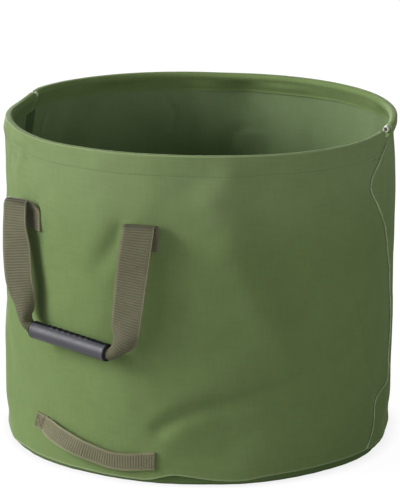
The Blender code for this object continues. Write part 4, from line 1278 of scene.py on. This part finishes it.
class GARDENBAG_OT_seams(bpy.types.Operator):
    """Makes the folded seam down each side and the tape that covers it inside"""
    bl_idname = "gardenbag.seams"
    bl_label = "Side seams"

    def execute(self, context):
        sizes, made = sizes_and_finishes(context.scene)
        rng = random.Random(3)
        for side, seam, notch in (("right", RIGHT_SEAM, NOTCHES[0]), ("left", LEFT_SEAM, NOTCHES[1])):
            make_seam_fold(side, seam, notch[2] - 0.0015, rng, made)
            make_seam_tape(side, seam, sizes, made)
        return {"FINISHED"}


def close_ends(item, rows, columns):
    """Caps the first and last ring of a round grid."""
    mesh = bmesh.new()
    mesh.from_mesh(item.data)
    mesh.verts.ensure_lookup_table()
    first = mesh.verts[:columns]
    last = mesh.verts[(rows - 1) * columns:]
    mesh.faces.new(first)
    mesh.faces.new(last[::-1])
    bmesh.ops.recalc_face_normals(mesh, faces=mesh.faces)
    mesh.to_mesh(item.data)
    mesh.free()


class GARDENBAG_OT_hoop(bpy.types.Operator):
    """Makes the plastic tube in the rim, whose open end shows where the hem is open"""
    bl_idname = "gardenbag.hoop"
    bl_label = "Rim hoop"

    def execute(self, context):
        made = finishes(context.scene.garden_bag_colours)
        azimuth = np.linspace(*HOOP_ENDS, 420)
        degrees, inward, up = HOOP_SPRING
        spring = 1 - ease(0, degrees, azimuth - HOOP_ENDS[0])
        points = outward(azimuth) * (HOOP_RING - inward * spring)[:, None]
        points[:, 2] = HOOP_HEIGHT + rim_rise(azimuth, HOOP_HEIGHT) + up * spring
        mesh = bpy.data.meshes.new("rim_hoop_tube")
        mesh.from_pydata(points.tolist(), [(i, i + 1) for i in range(len(points) - 1)], [])
        item = new_object("rim_hoop_tube", mesh)
        add_tree(item, tube_tree(), {"Radius": HOOP_RADIUS, "Sides": 20, "Material": made["hoop"]})
        item.data.materials.append(made["hoop"])
        # The inner faces take the bore's finish, painted near black as shade inside the tube.
        item.data.materials.append(made["bore"])
        thicken(item, HOOP_WALL, offset=-1.0, inner_slot=1)
        made_solid(item, 50)
        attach(item, "bag")
        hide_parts("rim_hoop")
        return {"FINISHED"}


class GARDENBAG_OT_sewing(bpy.types.Operator):
    """Sews the hem, the side seams, the inner tapes and the tack beside the hoop's open end"""
    bl_idname = "gardenbag.sewing"
    bl_label = "Canvas sewing"

    def execute(self, context):
        sizes, made = sizes_and_finishes(context.scene)
        rest = sizes.thread * THREAD_OUT
        behind_tape = -sizes.canvas - CLEARANCE - TAPE - rest
        lines = []
        for first, last in ((RIGHT_SEAM, LEFT_SEAM), (LEFT_SEAM, RIGHT_SEAM)):
            start = seam_azimuth(first, HEM_STITCH) + HEM_ROW_ENDS[0]
            end = seam_azimuth(last, HEM_STITCH) - HEM_ROW_ENDS[1]
            azimuth = np.linspace(start, end + (360 if end < start else 0), 400)
            lines.append(on_wall(azimuth, HEM_STITCH + 0.0003 * np.sin(azimuth * 0.9), rest))
            lines.append(on_wall(azimuth, HEM_STITCH + 0.0016, -2 * sizes.canvas - CLEARANCE - rest))
        sew("hem_stitches", lines, sizes, made["thread"])
        lines = []
        for seam, notch in ((RIGHT_SEAM, NOTCHES[0]), (LEFT_SEAM, NOTCHES[1])):
            lines.append(seam_line(seam, SEAM_ROW_LOW, notch[2] - SEAM_ROW_STOP, SEAM_ROW_TURN, rest))
            for turn in (-TAPE_ROW_TURN, TAPE_ROW_TURN):
                lines.append(seam_line(seam, *TAPE_ROW_HEIGHTS, turn, behind_tape))
        sew("side_seam_stitches", lines, sizes, made["thread"])
        azimuth = np.linspace(0, 360, 500)
        radius = BASE_RADIUS + behind_tape + wall_offset(azimuth, BASE_UPTURN)
        lines = []
        for height in BINDING_ROWS:
            ring = outward(azimuth) * radius[:, None]
            ring[:, 2] = height
            lines.append(ring)
        sew("base_seam_stitches", lines, sizes, made["thread"])
        # A tack of close zigzag stitches holds the hem's end beside the seam.
        tacks = []
        count = np.arange(TACK_STITCHES)
        for first, height in HEM_TACKS:
            zigzag = height + np.where(count % 2, TACK_HALF, -TACK_HALF)
            tacks.append(on_wall(first + count * TACK_STEP, zigzag, rest + 0.0002))
        sew("hem_tacks", tacks, sizes, made["tack_thread"])
        return {"FINISHED"}


# Straps


def sections(middles, sides, normals, rolled, pinched):
    """Points across a strap at each of its rows. Rolled from 0 to 1, it goes from flat to a curl,
    and pinched, the curl goes from round to narrow."""
    across = strap_columns(WEBBING_WIDTH)[None, :]
    roll = np.maximum(rolled, 0.001)[:, None]
    radius = CURL / roll
    turn = across / radius
    span = radius * np.sin(turn)
    rise = radius * (np.cos(turn) - 1) + CURL * roll
    flat = (rolled < 0.001)[:, None]
    span = np.where(flat, across, span)
    rise = np.where(flat, 0.0, rise) * (1 + 0.8 * pinched[:, None])
    span = span * (1 - pinched[:, None])
    return middles[:, None, :] + sides[:, None, :] * span[..., None] + normals[:, None, :] * rise[..., None]


def unit(vectors):
    return vectors / np.linalg.norm(vectors, axis=-1, keepdims=True)


def tab_rows(side):
    """The sewn end of the webbing, curved with the wall, from its lower edge up to the fold."""
    top = FOLD_HEIGHT - FOLDS_OVER[side][0] - FOLD_START
    heights = np.linspace(FOLD_HEIGHT - TAB_LENGTH, top, 16)[:, None]
    across = strap_columns(WEBBING_WIDTH)[None, :] * side
    radius = wall_radius(heights) + WEBBING_SEAT + WEBBING / 2
    points = outward(side * TAB_AZIMUTHS[side] + np.degrees(across / RIM_RADIUS)) * radius[..., None]
    points[..., 2] = heights
    return points


def fold_sides(side, facing, reach):
    """Directions across the strap, from its tab (reach 0) to the hanging strap (reach 1)."""
    azimuth = side * TAB_AZIMUTHS[side]
    level = sideways(azimuth + (facing - azimuth) * np.asarray(reach, float))
    tilt = math.radians(FOLDS_OVER[side][3]) * np.asarray(reach, float)[..., None]
    return level * np.cos(tilt) + np.array([0.0, 0.0, 1.0]) * np.sin(tilt)


def loop_rows(side, facing):
    """The fold over a tab, from the tab to the hanging strap, which faces its own way."""
    azimuth = side * TAB_AZIMUTHS[side]
    drop, rise, skew = FOLDS_OVER[side][:3]
    start = outward(azimuth) * (wall_radius(FOLD_HEIGHT) + WEBBING_SEAT + WEBBING / 2)
    start[2] = FOLD_HEIGHT - drop
    turn = np.linspace(0, math.pi, 40)[1:-1]
    reach = (1 - np.cos(turn)) / 2
    middles = start + outward(azimuth) * (FOLD_DEPTH * reach)[:, None]
    middles += sideways(azimuth) * (skew * reach)[:, None]
    middles[:, 2] += rise * np.sin(turn - FOLD_LEAN * np.sin(turn)) ** 0.8
    across = strap_columns(WEBBING_WIDTH)[None, :] * side
    points = middles[:, None, :] + fold_sides(side, facing, reach)[:, None, :] * across[..., None]
    # Near the tab the fold still has the wall's curve.
    bowed = (1 - reach)[:, None] ** 2 * (across ** 2) / (2 * RIM_RADIUS)
    return points - outward(azimuth) * bowed[..., None]


def grip_ends():
    """The two ends of the front grip's middle line, left and right."""
    height = FOLD_HEIGHT - GRIP_DROP
    middle = np.array([GRIP_SHIFT, -wall_radius(height) - GRIP_STANDOFF, height])
    tilt = math.radians(GRIP_TILT)
    along = np.array([math.cos(tilt), 0.0, -math.sin(tilt)])
    return middle - along * GRIP_LENGTH / 2, middle + along * GRIP_LENGTH / 2


def leg_rows(side, leg, grip_end):
    """A hanging strap from its fold to the middle of the grip, which it is rolled up inside."""
    azimuth = side * TAB_AZIMUTHS[side]
    top = outward(azimuth) * (wall_radius(FOLD_HEIGHT) + WEBBING_SEAT + WEBBING / 2 + FOLD_DEPTH)
    top += sideways(azimuth) * FOLDS_OVER[side][2]
    top[2] = FOLD_HEIGHT - FOLDS_OVER[side][0] - FOLD_START
    # Each row is a place, the way it faces and how far it is rolled up.
    rows = []
    for share, bow, facing, rolled in leg:
        place = top + (grip_end - top) * share
        place[0] += side * bow * GRIP_DROP
        rows.append([*place, facing, rolled])
    rows.append([*grip_end, 0.0, 1.0])
    middle = sum(grip_ends()) / 2
    curled = np.linspace(0, 1, CURLED_ROWS + 1)[1:, None] * (middle - grip_end) + grip_end
    curled = np.hstack([curled, np.tile([0.0, 1.0], (CURLED_ROWS, 1))])
    line = np.vstack([curve_through(rows, LEG_ROWS), curled])
    places = line[:, :3]
    ahead = unit(np.gradient(places, axis=0))
    ahead[0] = (0.0, 0.0, -1.0)
    sides = unit(np.cross(ahead, outward(line[:, 3])))
    # The first rows still have the fold's tilt.
    fold = -side * fold_sides(side, leg[0][2], 1.0)
    if np.dot(fold, sides[0]) < 0:
        fold = -fold
    kept = (1 - ease(0.0, FOLD_TILT_END, np.linspace(0, 1, len(line))))[:, None]
    sides = unit(sides * (1 - kept) + fold * kept)
    normals = np.cross(sides, ahead)
    down = (places[0, 2] - places[:, 2]) / (places[0, 2] - places[LEG_ROWS, 2])
    pinched = PINCHES[side] * ease(*PINCH_FROM, down) * (1 - ease(*PINCH_TO, down))
    return sections(places, sides, normals, np.clip(line[:, 4], 0, 1), pinched)


def even_rows(points, spacing):
    """The same surface with its rows at an even spacing, and the distance along it."""
    along = lengths(points[:, points.shape[1] // 2])
    count = int(round(along[-1] / spacing))
    places = np.linspace(0, along[-1], count + 1)
    flat = points.reshape(len(points), -1)
    made = np.stack([np.interp(places, along, flat[:, k]) for k in range(flat.shape[1])], -1)
    return made.reshape(-1, *points.shape[1:]), places


def strap_columns(width):
    """Distances across a strap, close together at the inside of both selvedges."""
    edge = width / 2 - SELVEDGE
    inner = np.linspace(-edge, edge, 15)
    return np.concatenate([[-width / 2, -edge - SELVEDGE_STEP], inner, [edge + SELVEDGE_STEP, width / 2]])


def carried_painted_shade(points):
    """How pale a carry strap is at each point: painted shade darkens the top of the fold over its tab, and
    the strap towards the grip.
    """
    height = points[..., 2]
    folded = ease(FOLD_HEIGHT - 0.0065, FOLD_HEIGHT - 0.0015, height)
    return -1.5 * folded - 0.35 * ease(0.08, 0.15, FOLD_HEIGHT - height)


def webbing_object(name, points, width, thickness, sizes, material, tone):
    """Ribbed webbing of a given thickness on a surface of even rows, closed all round. Its ribs are
    counted from its last row, so that two halves that meet there match."""
    points, along = even_rows(points, sizes.rib_pitch / 8)
    along = along[-1] - along
    across = strap_columns(width)[None, :]
    selvedge = ease(width / 2 - SELVEDGE - 0.0002, width / 2 - SELVEDGE + 0.0002, np.abs(across))
    item = grid_object(name, points, across, along[:, None], material, attributes={
        "along": along[:, None], "across": across, "pale": selvedge + tone(points)})
    thicken(item, thickness)
    add_tree(item, rib_tree(), {
        "Rib pitch": sizes.rib_pitch, "Rib height": sizes.rib_height, "Width": width, "Selvedge": SELVEDGE,
        "Material": material})
    return made_solid(item, 80)


def box_stitch(left, right, low, high, steps):
    """A sewn box with a cross in it, as three lines of points, each as its x and its y values."""
    a, b, c, d = (left, low), (right, low), (right, high), (left, high)
    lines = []
    for corners in ((a, b, c, d, a), (a, c), (b, d)):
        points = []
        for (x1, y1), (x2, y2) in zip(corners, corners[1:]):
            for share in np.linspace(0, 1, steps + 1)[:-1]:
                points.append((x1 + (x2 - x1) * share, y1 + (y2 - y1) * share))
        lines.append(np.array([*points, corners[-1]]).T)
    return lines


def tab_stitch_lines(side, out):
    """The box of stitches on a tab, on the face of its webbing."""
    edge, fold = TAB_STITCH_INSET
    half = WEBBING_WIDTH / 2 - edge
    low = FOLD_HEIGHT - TAB_LENGTH + edge
    high = FOLD_HEIGHT - FOLDS_OVER[side][0] - fold
    lines = []
    for across, heights in box_stitch(-half, half, low, high, 11):
        azimuth = side * TAB_AZIMUTHS[side] + np.degrees(across / RIM_RADIUS)
        line = outward(azimuth) * (wall_radius(heights) + WEBBING_SEAT + WEBBING + out)[:, None]
        line[:, 2] = heights
        lines.append(line)
    return lines


def about_middle(points, turn):
    """Points turned about the bag's axis."""
    c, s = math.cos(math.radians(turn)), math.sin(math.radians(turn))
    return np.asarray(points) @ np.array([[c, s, 0.0], [-s, c, 0.0], [0.0, 0.0, 1.0]])


class GARDENBAG_OT_handles(bpy.types.Operator):
    """Makes the webbing of both carry handles, from the sewn tabs to the middle of the grips"""
    bl_idname = "gardenbag.handles"
    bl_label = "Handle webbing"

    def execute(self, context):
        sizes, made = sizes_and_finishes(context.scene)
        ends = grip_ends()
        for prefix, turn in (("front", 0), ("back", 180)):
            for label, side, leg, end in (("left", -1, LEFT_LEG, ends[0]), ("right", 1, RIGHT_LEG, ends[1])):
                tab = tab_rows(side)
                fold = loop_rows(side, leg[0][2])
                hanging = leg_rows(side, leg, end)
                if np.dot(hanging[0, -1] - hanging[0, 0], tab[-1, -1] - tab[-1, 0]) < 0:
                    hanging = hanging[:, ::-1]
                points = about_middle(np.vstack([tab, fold, hanging]), turn)
                strap = webbing_object(f"{prefix}_{label}_strap", points, WEBBING_WIDTH, WEBBING, sizes,
                                       made["webbing"], carried_painted_shade)
                # The strap must have room to bend between its tab and the top of its hanging length.
                bearing, fall = BENDS[label]
                ahead = unit(about_middle(outward(side * bearing) - np.array([0.0, 0.0, fall]), turn))
                start = max(about_middle(tab, turn).reshape(-1, 3) @ ahead) + WEBBING * 0.75
                finish = min(about_middle(hanging, turn).reshape(-1, 3) @ ahead) - WEBBING * 0.75
                if finish - start < LEAST_BEND:
                    raise RuntimeError(f"{strap.name}: no room for its bend, {finish - start:.4f} m")
                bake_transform(strap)
                nodes = [f"{prefix}_{label}_tab", f"{prefix}_{label}_loop"]
                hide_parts(*nodes, prefix + "_webbing")
                out = STITCH_LIFT + sizes.rib_height
                lines = [about_middle(line, turn) for line in tab_stitch_lines(side, out)]
                box = sew(f"{prefix}_{label}_box_stitches", lines, sizes, made["webbing_thread"])
                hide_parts(f"{prefix}_{label}_stitching")
        return {"FINISHED"}


def tooth_edge(x):
    """Height of the snap teeth's edge along the grip."""
    share = (x / TOOTH_PITCH + 0.5) % 1.0
    tooth = ease(0.10, 0.26, share) * (1 - ease(0.62, 0.80, share))
    inside = ease(0.0, 0.003, TOOTH_REACH - np.abs(x))
    return tooth * inside * TOOTH_HEIGHT


def grip_half(name, sign, turn, material):
    """One half of the tubular grip, whose two long edges are cut into snap teeth."""
    ends = grip_ends()
    along = unit(ends[1] - ends[0])
    front = np.array([0.0, -1.0, 0.0])
    front = unit(front - along * front.dot(along))
    front = np.array(Matrix.Rotation(math.radians(GRIP_TURN), 3, Vector(along)) @ Vector(front))
    up = np.cross(front, along)
    reach = GRIP_LENGTH / 2
    # Two more columns stand on the rounded lip at each end.
    lip_steps = np.array([0.0002, 0.0005])
    x = np.linspace(-reach, reach, 235)
    x = np.concatenate([[-reach], lip_steps - reach, x[1:-1], reach - lip_steps[::-1], [reach]])
    from_end = reach - np.abs(x)
    lip = np.sqrt(np.clip(1 - (1 - np.clip(from_end / GRIP_LIP, 0, 1)) ** 2, 0, 1))
    place, width, height = GRIP_BEAD
    bead = np.exp(-((from_end - place) / width) ** 2)
    radius = (GRIP_RADIUS - GRIP_LIP * (1 - lip) + height * bead)[None, :]
    edge = np.arcsin(np.clip((tooth_edge(x) + sign * HALVES_GAP) / GRIP_RADIUS, -1, 1))
    share = np.linspace(0, 1, 41)[:, None]
    if sign > 0:
        angle = edge[None, :] + (math.pi - 2 * edge[None, :]) * share
    else:
        angle = edge[None, :] - (math.pi + 2 * edge[None, :]) * share
    # The teeth along the top stand a little proud of the shells.
    away = np.abs(angle - edge[None, :]) * GRIP_RADIUS
    tooth = (tooth_edge(x) / TOOTH_HEIGHT)[None, :]
    radius = radius + TOOTH_PROUD * (1 - ease(0.0022, 0.0036, away)) * tooth
    points = (
        (ends[0] + ends[1]) / 2
        + along * x[None, :, None]
        + up * (np.cos(angle) * radius)[..., None]
        + front * (np.sin(angle) * radius)[..., None]
    )
    # Shade is 1 where shade is painted on: in the band of snap teeth along the top and on both end faces.
    band = 1 - ease(0.0046, 0.0062, np.abs(angle) * GRIP_RADIUS)
    shade = np.maximum(band, 1 - ease(0.0012, 0.0020, from_end)[None, :])
    if sign > 0:
        points = points[:, ::-1]
        shade = shade[:, ::-1]
    points = about_middle(points, turn)
    item = grid_object(name, points, x[None, :], angle * GRIP_RADIUS, material, attributes={"shade": shade})
    thicken(item, GRIP_WALL, offset=-1.0)
    bevel = item.modifiers.new("Edges", "BEVEL")
    bevel.width = GRIP_EDGE
    bevel.segments = 2
    bevel.limit_method = "ANGLE"
    bevel.angle_limit = math.radians(55)
    return made_solid(item, 60)


class GARDENBAG_OT_grips(bpy.types.Operator):
    """Makes the tubular plastic grips, each of two halves that snap together round the webbing"""
    bl_idname = "gardenbag.grips"
    bl_label = "Grips"

    def execute(self, context):
        made = finishes(context.scene.garden_bag_colours)
        for prefix, turn in (("front", 0), ("back", 180)):
            for half, sign in (("outer", 1), ("inner", -1)):
                item = grip_half(f"{prefix}_grip_shell_{half}", sign, turn, made["grip"])
                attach(item, prefix + "_handle")
                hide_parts(f"{prefix}_grip_{half}")
        return {"FINISHED"}


def tip_line():
    """Azimuth and height along the tip strap, evenly from its left end to its right."""
    curve = curve_through(TIP_LINE, 240)
    azimuth = np.linspace(TIP_LINE[0][0], TIP_LINE[-1][0], 241)
    return np.stack([azimuth, np.interp(azimuth, curve[:, 0], curve[:, 1])], -1)


def tip_half_rows(side):
    """Half of the tip strap: under its sewn end, round the end's fold, over it and on to the middle."""
    line = tip_line()[::side]
    last = line[-1, 0]
    half = line[len(line) // 2:]
    sewn = half[np.abs(half[:, 0] - last) <= TIP_END_TURN]
    inner = WEBBING_SEAT + TIP_WEBBING / 2
    outer = inner + TIP_WEBBING + TIP_FOLD_GAP
    bend = (outer - inner) / 2
    slack_from = last - side * TIP_END_TURN
    other = line[0, 0] + side * TIP_END_TURN
    # Each row is an azimuth, a height and how far out from the wall.
    rows = [(azimuth, height, inner) for azimuth, height in sewn]
    for degrees in range(15, 180, 15):
        turn = math.radians(degrees)
        rows.append((last + side * math.degrees(bend * math.sin(turn) / FOOT_RADIUS), sewn[-1, 1],
                     (inner + outer) / 2 - bend * math.cos(turn)))
    for azimuth, height in half[::-1]:
        share = np.clip((azimuth - slack_from) / (other - slack_from), 0, 1)
        rows.append((azimuth, height, outer + TIP_SLACK * math.sin(math.pi * share) ** 0.8))
    azimuth, height, standoffs = np.array(rows).T
    # The slope of the strap's own line gives the direction across it, also round the fold.
    slope = np.interp(azimuth * side, line[:, 0] * side, np.gradient(line[:, 1], line[:, 0]))
    slope = slope * 180 / math.pi / FOOT_RADIUS
    ahead = unit(sideways(azimuth) + np.stack([0 * slope, 0 * slope, slope], -1))
    up = unit(np.cross(outward(azimuth), ahead))
    lean = math.radians(TIP_LEAN[side]) * (1 - ease(1.0, 2.5, np.abs(azimuth - last) / TIP_END_TURN))[:, None]
    up = up * np.cos(lean) + ahead * np.sin(lean)
    # The strap lies along the wall at its upper edge, and its lower edge stands off where it is slack.
    slack = ease(*TIP_TWIST_FROM, azimuth) * (1 - ease(*TIP_TWIST_TO, azimuth)) * (standoffs >= outer)
    twist = math.radians(TIP_TWIST) * slack
    columns = []
    for shift in strap_columns(TIP_WIDTH):
        below = TIP_WIDTH / 2 - shift
        moved = up * (TIP_WIDTH / 2 - below * np.cos(twist))[:, None]
        turned = azimuth + np.degrees(np.sum(moved * sideways(azimuth), -1) / FOOT_RADIUS)
        columns.append(on_wall(turned, height + moved[:, 2], standoffs + below * np.sin(twist)))
    return np.stack(columns, 1)


def tip_stitch_lines(side, out):
    """The box of stitches on a sewn end of the tip strap, which leans as the end does."""
    azimuths, heights = tip_line().T
    centre = azimuths[-1 if side > 0 else 0] - side * TIP_END_TURN / 2
    level = np.interp(centre, azimuths, heights)
    slope = np.interp(centre, azimuths, np.gradient(heights, azimuths)) * 180 / math.pi / FOOT_RADIUS
    lean = math.atan(slope)
    square = lean - math.radians(TIP_LEAN[side])
    reach = TIP_END_LENGTH / 2 - TIP_STITCH_INSET[0]
    half = TIP_WIDTH / 2 - TIP_STITCH_INSET[1]
    lines = []
    for x, y in box_stitch(-reach, reach, -half, half, 8):
        s = x * math.cos(lean) - y * math.sin(square)
        t = x * math.sin(lean) + y * math.cos(square)
        lines.append(on_wall(centre + np.degrees(s / FOOT_RADIUS), level + t, out))
    return lines


class GARDENBAG_OT_tip_strap(bpy.types.Operator):
    """Makes the low strap used to tip the bag out, with its folded, sewn ends"""
    bl_idname = "gardenbag.tip_strap"
    bl_label = "Tip strap"

    def execute(self, context):
        sizes, made = sizes_and_finishes(context.scene)
        for label, side in (("left", -1), ("right", 1)):
            points = tip_half_rows(side)
            # Painted light: the whole strap is drawn paler than the carry straps, for the stronger light on
            # it.
            strap = webbing_object(f"tip_strap_{label}_half", points, TIP_WIDTH, TIP_WEBBING, sizes,
                                   made["webbing"], lambda points: 1.0)
            # The place where its sewn end stops, at the height of the middle of its last row.
            edge = TIP_LINE[-1 if side > 0 else 0][0] - side * TIP_END_TURN
            start = on_wall(edge, np.interp(edge, *zip(*TIP_LINE)))
            middle = points[-1, points.shape[1] // 2]
            start = np.array([start[0], start[1], middle[2]])
            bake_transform(strap)
            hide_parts(f"tip_strap_{label}_end", "tip_strap")
            out = WEBBING_SEAT + 2 * TIP_WEBBING + TIP_FOLD_GAP + STITCH_LIFT + sizes.rib_height
            box = sew(f"tip_strap_{label}_box_stitches", tip_stitch_lines(side, out), sizes,
                      made["webbing_thread"])
            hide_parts(f"tip_strap_{label}_stitching")
        return {"FINISHED"}


# Stage


def white_to_camera(tree):
    """1 for the rays that see the stage itself, 0 for those that it lights."""
    path = add_node(tree, "ShaderNodeLightPath")
    direct = add_node(tree, "ShaderNodeMath", {
        0: path.outputs["Is Camera Ray"], 1: path.outputs["Is Glossy Ray"]}, operation="MAXIMUM")
    return add_node(tree, "ShaderNodeMath", {
        0: direct.outputs[0], 1: path.outputs["Is Transmission Ray"]}, operation="MAXIMUM").outputs[0]


def make_floor():
    """Matt floor paint, which the camera sees as white except where the bag shades it."""
    mesh = bpy.data.meshes.new("floor")
    corners = [(x * FLOOR_REACH, y * FLOOR_REACH, -FLOOR_DROP)
               for x, y in ((-1, -1), (1, -1), (1, 1), (-1, 1))]
    mesh.from_pydata(corners, [], [(0, 1, 2, 3)])
    material, tree, shader = new_material("paint_floor_matt")
    seen = white_to_camera(tree)
    bounce = add_node(tree, "ShaderNodeMapRange", {"Value": seen, "To Min": FLOOR_BOUNCE, "To Max": 0.10})
    # Painted contact shadow: the floor's glow to the camera is dimmed right at the bag's foot.
    corner = add_node(tree, "ShaderNodeAmbientOcclusion", {"Distance": 0.022}, samples=16)
    glow = add_node(tree, "ShaderNodeMapRange", {
        "Value": corner.outputs["AO"], "From Min": 0.5, "To Min": 0.86, "To Max": 0.97})
    strength = add_node(tree, "ShaderNodeMath", {0: glow.outputs[0], 1: seen}, operation="MULTIPLY")
    tree.links.new(bounce.outputs[0], shader.inputs["Base Color"])
    tree.links.new(strength.outputs[0], shader.inputs["Emission Strength"])
    shader.inputs["Emission Color"].default_value = (1.0, 1.0, 1.0, 1.0)
    shader.inputs["Roughness"].default_value = 1.0
    shader.inputs["Specular IOR Level"].default_value = 0.0
    floor = new_object("floor", mesh, material)


def make_world(scene):
    """A weak even light from all round, which the camera sees as white."""
    world = bpy.data.worlds.new("studio_world")
    world.use_nodes = True
    scene.world = world
    tree = world.node_tree
    level = add_node(tree, "ShaderNodeMapRange", {
        "Value": white_to_camera(tree), "To Min": WORLD_LIGHT, "To Max": 1.0})
    background = tree.nodes["Background"]
    tree.links.new(level.outputs[0], background.inputs["Strength"])
    background.inputs["Color"].default_value = (1.0, 1.0, 1.0, 1.0)


def make_lamps(scene):
    for name, bearing, elevation, spread, strength in LAMPS:
        lamp = bpy.data.lights.new(name, "SUN")
        lamp.angle = math.radians(spread)
        lamp.energy = strength
        item = bpy.data.objects.new(name, lamp)
        scene.collection.objects.link(item)
        away = outward(CAMERA_AZIMUTH + bearing) * math.cos(math.radians(elevation))
        away[2] = math.sin(math.radians(elevation))
        item.location = Vector(away) * 3
        item.rotation_euler = Vector(away).to_track_quat("Z", "Y").to_euler()


def make_camera(scene):
    camera = bpy.data.cameras.new("camera")
    camera.sensor_fit = "AUTO"
    camera.sensor_width = 36.0
    camera.lens = CAMERA_LENS
    camera.shift_x = CAMERA_SHIFT
    camera.clip_end = 60.0
    item = bpy.data.objects.new("camera", camera)
    scene.collection.objects.link(item)
    place = outward(CAMERA_AZIMUTH) * CAMERA_DISTANCE
    item.location = (place[0], place[1], CAMERA_HEIGHT)
    item.rotation_euler = (math.radians(90 - CAMERA_PITCH), 0.0, math.radians(CAMERA_AZIMUTH))
    scene.camera = item


class GARDENBAG_OT_stage(bpy.types.Operator):
    """Makes the white floor, the lamps, the world and the photograph's camera"""
    bl_idname = "gardenbag.stage"
    bl_label = "Stage"

    def execute(self, context):
        context.scene.view_settings.view_transform = "Standard"
        make_floor()
        make_world(context.scene)
        make_lamps(context.scene)
        make_camera(context.scene)
        return {"FINISHED"}


OPERATORS = (
    GARDENBAG_OT_canvas, GARDENBAG_OT_base, GARDENBAG_OT_seams, GARDENBAG_OT_hoop, GARDENBAG_OT_sewing,
    GARDENBAG_OT_handles, GARDENBAG_OT_grips, GARDENBAG_OT_tip_strap, GARDENBAG_OT_stage,
)


class GARDENBAG_PT_sidebar(bpy.types.Panel):
    """Lists the bag's sizes, colours and pieces"""
    bl_idname = "GARDENBAG_PT_sidebar"
    bl_label = "Garden Waste Bag"
    bl_space_type = "VIEW_3D"
    bl_region_type = "UI"
    bl_category = "Garden Bag"

    def draw(self, context):
        for group in (context.scene.garden_bag_sizes, context.scene.garden_bag_colours):
            column = self.layout.column(align=True)
            for name in group.__annotations__:
                column.prop(group, name)
        column = self.layout.column(align=True)
        for operator in OPERATORS:
            column.operator(operator.bl_idname)


CLASSES = (BagSizes, BagColours, *OPERATORS, GARDENBAG_PT_sidebar)


def register():
    for item in CLASSES:
        bpy.utils.register_class(item)
    bpy.types.Scene.garden_bag_sizes = bpy.props.PointerProperty(type=BagSizes)
    bpy.types.Scene.garden_bag_colours = bpy.props.PointerProperty(type=BagColours)


def unregister():
    del bpy.types.Scene.garden_bag_colours
    del bpy.types.Scene.garden_bag_sizes
    for item in reversed(CLASSES):
        bpy.utils.unregister_class(item)


def main():
    register()
    for operator in OPERATORS:
        getattr(bpy.ops.gardenbag, operator.bl_idname.partition(".")[2])()


if __name__ == "__main__":
    main()
